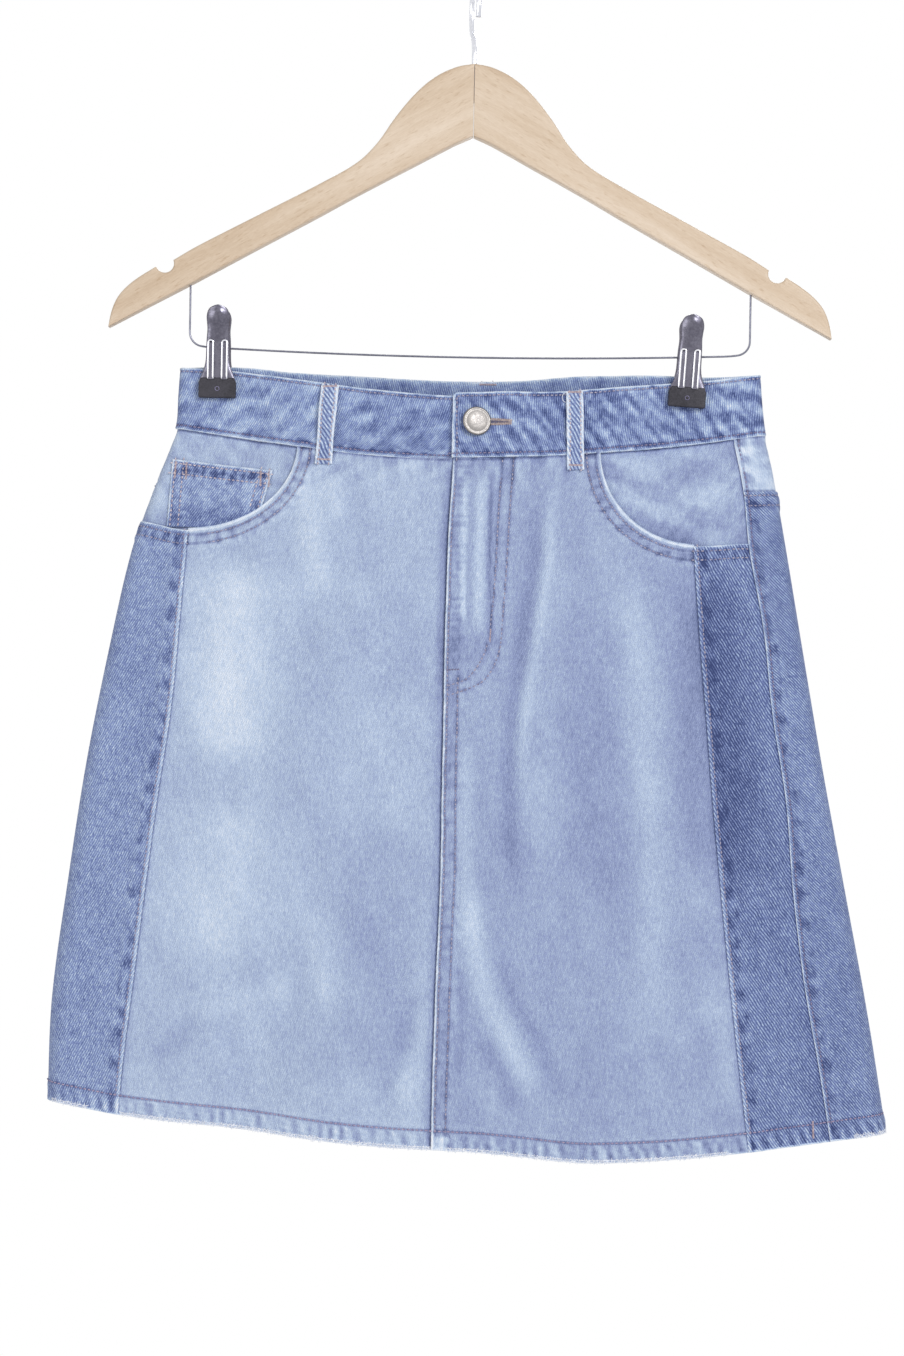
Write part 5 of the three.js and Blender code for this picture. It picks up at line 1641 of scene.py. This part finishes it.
hook = {"wireR": 1.75, "insideR": 18, "turnDeg": 84, "shaftTop": -42, "woodEnd": -76}
bar = {"r": .62, "postOut": 171.3, "lowZ": -227.4, "sag": 4, "bendR": 8.5, "woodEnd": -184}
wood = {"thick": 12, "bevel": 1.5, "notchOut": 187, "notchZ": -177.6, "notchR": 5.6}
armLine = table(("out", "top", "under"), [
    (0, -52.4, -96.6), (11, -54.6, -101.6), (24, -61.0, -108.6), (36, -71.4, -115.2), (48, -86.2, -121.6),
    (58, -101.0, -127.0), (70, -113.4, -133.6), (92, -126.6, -146.2), (130, -146.8, -167.2),
    (168, -167.0, -188.4), (180.5, -174.6, -195.2),
])
armTip = [(193, -180.0), (203, -186.4), (210, -192.1), (215, -197.9), (218, -204.0), (219.8, -210.4),
    (220.8, -216.8)]


def makeHook():
    r, turn = hook["insideR"] + hook["wireR"], math.radians(hook["turnDeg"])
    flat = [(0, hook["woodEnd"]), (0, -62), (0, -50), (1.2, hook["shaftTop"]), (7.5, -35.2)]
    for deg in np.linspace(-40, 205, 12):
        a = math.radians(deg)
        flat.append((r * math.cos(a), -hook["insideR"] + r * math.sin(a)))
    flat = spline(flat, 1.2)
    path = np.stack([-flat[:, 0] * math.cos(turn), flat[:, 0] * math.sin(turn), flat[:, 1]], axis=1)
    plainMesh("hookWire", *wireTube(path, hook["wireR"]), hard["wireSteel"], "steel_wire", "hanger_hook")


def barZ(x):
    return bar["lowZ"] - bar["sag"] * (1 - (x / bar["postOut"]) ** 2)


def makeBar():
    out, bend, low = bar["postOut"], bar["bendR"], bar["lowZ"]
    corner = [(out - bend * (1 - math.cos(a)), low + bend * (1 - math.sin(a))) for a in np.linspace(0,
        math.pi / 2, 9)]
    left = [(-out, z) for z in (bar["woodEnd"], -195, -206, -214)] + [(-x, z) for x, z in corner[:-1]]
    middle = [(x, barZ(x)) for x in np.linspace(-158, 158, 25)]
    line = spline(left + middle + [(-x, z) for x, z in reversed(left)], 1.6)
    path = np.stack([line[:, 0], 0 * line[:, 0], line[:, 1]], axis=1)
    plainMesh("trouserBarWire", *wireTube(path, bar["r"], 14), hard["barSteel"], "steel_wire", "hanger_bar")


def armOutline():
    outs = np.concatenate([np.arange(.15, 80, 2.2), np.arange(80, 181, 5)])
    top = [(x, float(read(armLine, "top", x))) for x in outs]
    centre = (wood["notchOut"], wood["notchZ"])
    notch = []
    for deg in np.linspace(158, 336, 15):
        a = math.radians(deg)
        notch.append((centre[0] + wood["notchR"] * math.cos(a), centre[1] + wood["notchR"] * math.sin(a)))
    tip = [tuple(p) for p in spline(armTip, 1.8)]
    under = [(x, float(read(armLine, "under", x))) for x in (168, 150, 130, 110, 92, 70, 48, 36, 24, 11,
        .15)]
    return top + notch + tip + under


def easeBevel(places):
    # the bevel runs out towards the joint, the tip and the notch's outer corner
    out, z = np.abs(places[:, :1]), places[:, 1:]
    (tipOut, tipZ), (cornerOut, cornerZ) = armTip[-1], armTip[0]
    easing = np.clip(np.hypot(out - tipOut, z - tipZ) / 6, .12, 1)
    easing = easing * np.clip(np.hypot(out - cornerOut, z - cornerZ) / 3, .2, 1)
    return easing * np.where(out < 1, .15, 1)


def makeArm(sign, name, replaced):
    outline2d = np.array(armOutline()) * (sign, 1)
    if sign < 0:
        outline2d = outline2d[::-1]
    before, after = np.roll(outline2d, 1, axis=0), np.roll(outline2d, -1, axis=0)

    def edgeNormal(a, b):
        way = b - a
        way = way / np.maximum(np.linalg.norm(way, axis=1, keepdims=True), 1e-9)
        return np.stack([way[:, 1], -way[:, 0]], axis=1)
    normal = edgeNormal(before, outline2d) + edgeNormal(outline2d, after)
    normal = normal / np.maximum(np.linalg.norm(normal, axis=1, keepdims=True), .6)
    points, count, half = [], len(outline2d), wood["thick"] / 2
    bevel = wood["bevel"] * easeBevel(outline2d)
    levels = [(-1, a) for a in np.linspace(0, math.pi / 2, 5)] + [(1,
        a) for a in np.linspace(math.pi / 2, 0, 5)]
    for side, a in levels:
        inset = outline2d + normal * bevel * (1 - math.sin(a))
        y = side * (half - wood["bevel"] * (1 - math.cos(a)))
        points.extend((x, y, z) for x, z in inset)
    faces = ringFaces(len(levels), count)
    plainMesh(name, points, faces, beech(name + "Grain", sign * -30), "beech", replaced)


plainMesh("looseThread", *wireTube(snag, .22, 8), threads["white"], "light_denim", None)
makeHook()
makeBar()
makeArm(-1, "beechArmLeft", "hanger_arm_left")
makeArm(1, "beechArmRight", "hanger_arm_right")

button = {"x": 3.9, "z": -272.1, "r": 8.8, "shankR": 2.1, "seat": 4.3, "foot": -.2, "leanDeg": 10}


def makeButton():
    r, seat = button["r"], button["seat"]
    profile = spline([
        (0.01, button["foot"]), (button["shankR"], button["foot"]), (button["shankR"], seat + .3),
            (6.6, seat + .1),
        (r - .5, seat + .3), (r - .05, seat + .8), (r, seat + 1.2), (r - .2, seat + 1.6),
        (r - .7, seat + 1.95),
        (r - 1.3, seat + 1.98), (r - 1.8, seat + 1.85), (5.5, seat + 2.1), (4, seat + 2.3),
        (2, seat + 2.44),
        (.01, seat + 2.5),
    ], .35)
    around = roundOfX(button["x"], button["z"])
    base, up = clothPoint(around, button["z"], False), clothNormal(around, button["z"])
    across = np.cross(up, (0, 0, 1))
    across = across / np.linalg.norm(across)
    other = np.cross(up, across)
    lean = math.radians(button["leanDeg"])
    up, across = up * math.cos(lean) - across * math.sin(lean), across * math.cos(lean) + up * math.sin(lean)
    sides, points = 64, []
    for radius, lift in profile:
        for t in np.linspace(0, 2 * math.pi, sides, endpoint=False):
            points.append(base + up * lift + radius * (math.cos(t) * across + math.sin(t) * other))
    plainMesh("domeButton", points, ringFaces(len(profile), sides), hard["domeNickel"], "button_metal",
        "button")


makeButton()

clip = {"wall": 1, "prongX": 4.2, "prongWidth": 3.8, "windowLow": 2, "windowHigh": 4, "leanDeg": 3.4,
    "wireR": .62}
plateLine = table(("z", "half"), [
    (-31, 11.5), (-22, 11.4), (-18.3, 10.2), (-15.2, 9.0), (-12, 8.0), (-8, 7.3), (0, 7.1), (5, 6.9),
        (10.5, 6.5),
    (14, 6.7), (18.3, 7.0), (22, 6.1), (24, 4.4), (25, 2.2),
])
plateOut = table(("z", "out"), [(-31, 7.9), (-16, 7.9), (-8, 7.7), (2, 8.2), (12, 9.6), (25, 12)])


def clipPlace(name, points):
    # from a clip's own frame, where the bar runs through the origin, to its place on the bar
    x, lean = clipGrip[name], math.radians(clip["leanDeg"] if name == "right" else 0)
    points = np.asarray(points, float)
    turned = [points[:, 0] * math.cos(lean) + points[:, 2] * math.sin(lean), points[:, 1],
              points[:, 2] * math.cos(lean) - points[:, 0] * math.sin(lean)]
    return np.stack(turned, axis=1) + (x, 0, barZ(x))


def finishMesh(made, modifiers):
    # applies modifiers, given as kind and settings, and keeps the plain result
    for kind, settings in modifiers:
        live = made.modifiers.new(kind.lower(), kind)
        for key, value in settings.items():
            setattr(live, key, value)
    result = bpy.data.meshes.new_from_object(made.evaluated_get(bpy.context.evaluated_depsgraph_get()))
    made.modifiers.clear()
    made.data = result


def makePlate(name, side, replaced):
    half = 7.1
    inner, outer = clip["prongX"] - clip["prongWidth"] / 2, clip["prongX"] + clip["prongWidth"] / 2
    shares = [0, .35 * inner / half, .7 * inner / half, inner / half, (inner + outer) / 2 / half,
        outer / half, .94, 1]
    u = np.array([-v for v in reversed(shares[1:])] + shares)
    z = np.array([25.3, 25, 24.4, 23.6, 22.6, 21.4, 20.2, 19, 17.6, 16.2, 14.8, 13.2, 11.6, 10, 8, 6, 4,
        2, -1, -4,
                  -7, -10, -12.5, -15, -17, -19, -20.5, -22.0])
    uu, zz = np.meshgrid(u, z)
    width = read(plateLine, "half", zz) * np.where(zz > 25.1, .4, 1)
    crown = .8 * (1 - uu ** 2) * smooth(-20, -8, zz)
    dome = .9 * (1 - smooth(3.2, 5.6, np.hypot(uu * width, zz - 18.2)))
    edge = -.5 * smooth(.88, 1, np.abs(uu))
    points = np.stack([uu * width, side * (read(plateOut, "out", zz) + crown + dome + edge), zz], axis=-1)
    n = np.arange(zz.size).reshape(zz.shape)
    faces = []
    for i in range(len(z) - 1):
        for j in range(len(u) - 1):
            middle = abs(u[j] + u[j + 1]) / 2 * half
            if z[i] <= clip["windowHigh"] and z[i + 1] >= clip["windowLow"] and inner < middle < outer:
                continue
            quad = (n[i, j], n[i + 1, j], n[i + 1, j + 1], n[i, j + 1])
            faces.append(tuple(int(k) for k in (quad if side < 0 else reversed(quad))))
    placedPoints = clipPlace(name, points.reshape(-1, 3))
    made = plainMesh(f"clipPlate_{replaced}", placedPoints, faces, hard["blackEnamel"], "black_enamel",
        None)
    finishMesh(made, [
        ("SOLIDIFY", {"thickness": clip["wall"] * mm, "offset": -1}),
        ("BEVEL", {"width": .22 * mm, "segments": 2, "limit_method": "ANGLE"}),
    ])
    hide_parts(replaced)
    return made


def makePad(name, side, replaced):
    # a rubber sleeve over the jaw's end, its shoulders cut back
    near, far = sorted((side * 4.6, side * 9.0))
    points = []
    for z, half in ((-31.2, 11.3), (-30, 11.4), (-21.8, 11.4), (-18.8, 10.1)):
        points += [(-half, near, z), (half, near, z), (half, far, z), (-half, far, z)]
    label = f"clipSleeve_{replaced}"
    made = plainMesh(label, clipPlace(name, points), ringFaces(4, 4), hard["blackRubber"],
        "black_rubber", None)
    finishMesh(made, [("BEVEL", {"width": .9 * mm, "segments": 4, "limit_method": "ANGLE"})])
    for polygon in made.data.polygons:
        polygon.use_smooth = True
    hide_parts(replaced)
    return made


def makeRing(name, side, label):
    turns = np.linspace(0, 2 * math.pi, 28)
    path = [(1.25 * math.cos(t), side * 9.05, -25.6 + 1.25 * math.sin(t)) for t in turns]
    points, faces = wireTube(clipPlace(name, path), .28, 10)
    return plainMesh(f"clipRing_{label}", points, faces, hard["ringGrey"], "steel_wire", None)


def makeProngs(name, side, label):
    # the spring's ends: two wire loops lying on the plate
    points, faces = [], []
    for x in (-clip["prongX"], clip["prongX"]):
        path = [(x - 1.5, side * 9.3, -19.6), (x - 1.5, side * 9.75, -17), (x - 1.5, side * 9.9, -8),
            (x - 1.5, side * 9.9, 1)]
        path += [(x - 1.5 * math.cos(a), side * 9.9, 2.4 + 1.5 * math.sin(a)) for a in np.linspace(0,
            math.pi, 9)]
        path += [(2 * x - px, y, z) for px, y, z in reversed(path[:4])]
        loopPoints, loopFaces = wireTube(clipPlace(name, spline(path, .5)), clip["wireR"], 12)
        faces += [tuple(k + len(points) for k in face) for face in loopFaces]
        points += loopPoints
    return plainMesh(f"clipProngs_{label}", points, faces, hard["chromeSpring"], "steel_wire", None)


for name in ("left", "right"):
    for side, face in ((-1, "front"), (1, "back")):
        makePlate(name, side, f"clip_{name}_{face}_plate")
        makePad(name, side, f"clip_{name}_{face}_pad")
        makeRing(name, side, f"{name}_{face}")
        makeProngs(name, side, f"{name}_{face}")


def kept(nodeName, material):
    # a part whose shape is right keeps its shape and takes a fuller finish
    for made in scene.objects:
        if made.name == nodeName:
            for slot in made.material_slots:
                slot.material = material


for nodeName, material in (("clip_left_spring", "blackEnamel"), ("clip_right_spring", "blackEnamel"),
                           ("zip", "zipBrass"), ("zip_slider", "zipBrass")):
    kept(nodeName, hard[material])
print("hanger, clips and button made")

# camera at the photo's angle, soft light and a plain pale floor
cameraLook = {"x": -7.3, "z": -427.6, "distance": 2200.0, "tall": 829.5, "rollDeg": -1.0}


def makeCamera(look):
    data = bpy.data.cameras.new("photoCamera")
    data.sensor_width = 36
    data.lens = 36 * look["distance"] / look["tall"]
    made = bpy.data.objects.new("photoCamera", data)
    made.location = Vector((look["x"], -look["distance"], look["z"])) * mm
    made.rotation_euler = (math.pi / 2, math.radians(look["rollDeg"]), 0)
    scene.collection.objects.link(made)
    scene.camera = made


def softLight(name, place, target, size, watts):
    data = bpy.data.lights.new(name, "AREA")
    data.shape, data.size, data.energy = "DISK", size, watts
    made = bpy.data.objects.new(name, data)
    made.location = place
    made.rotation_euler = (Vector(target) - Vector(place)).to_track_quat("-Z", "Y").to_euler()
    scene.collection.objects.link(made)


def makeStage():
    finish, _, _ = newMaterial("paleFloor", srgb(246, 246, 248), .9)
    sides, radius, height = 96, 3.0, -1.47
    ring = [(radius * math.cos(a), radius * math.sin(a), height) for a in np.linspace(0, 6.2832, sides,
        endpoint=False)]
    mesh = bpy.data.meshes.new("floor")
    mesh.from_pydata(ring, [], [list(range(sides))])
    mesh.materials.append(finish)
    floor = bpy.data.objects.new("floor", mesh)
    scene.collection.objects.link(floor)
    world = bpy.data.worlds.new("paleRoom")
    world.use_nodes = True
    tree = world.node_tree
    sky = tree.nodes["Background"]
    sky.inputs["Color"].default_value = (1, 1, 1, 1)
    rays = node(tree, "ShaderNodeLightPath").outputs
    seen = calc(tree, "MAXIMUM", rays["Is Camera Ray"], calc(tree, "MULTIPLY", rays["Is Glossy Ray"], .85))
    tree.links.new(calc(tree, "MULTIPLY_ADD", seen, .52, .48), sky.inputs["Strength"])
    scene.world = world


makeCamera(cameraLook)
makeStage()
middle = (0, 0, -.45)
softLight("keyLight", (1.3, -2.3, .75), middle, 1.1, 38)
softLight("fillLight", (-1.9, -2.0, -.2), middle, 1.6, 14)
softLight("backLight", (.4, 2.6, .7), middle, 1.8, 42)
scene.view_settings.view_transform = "Standard"
print("camera and light set")
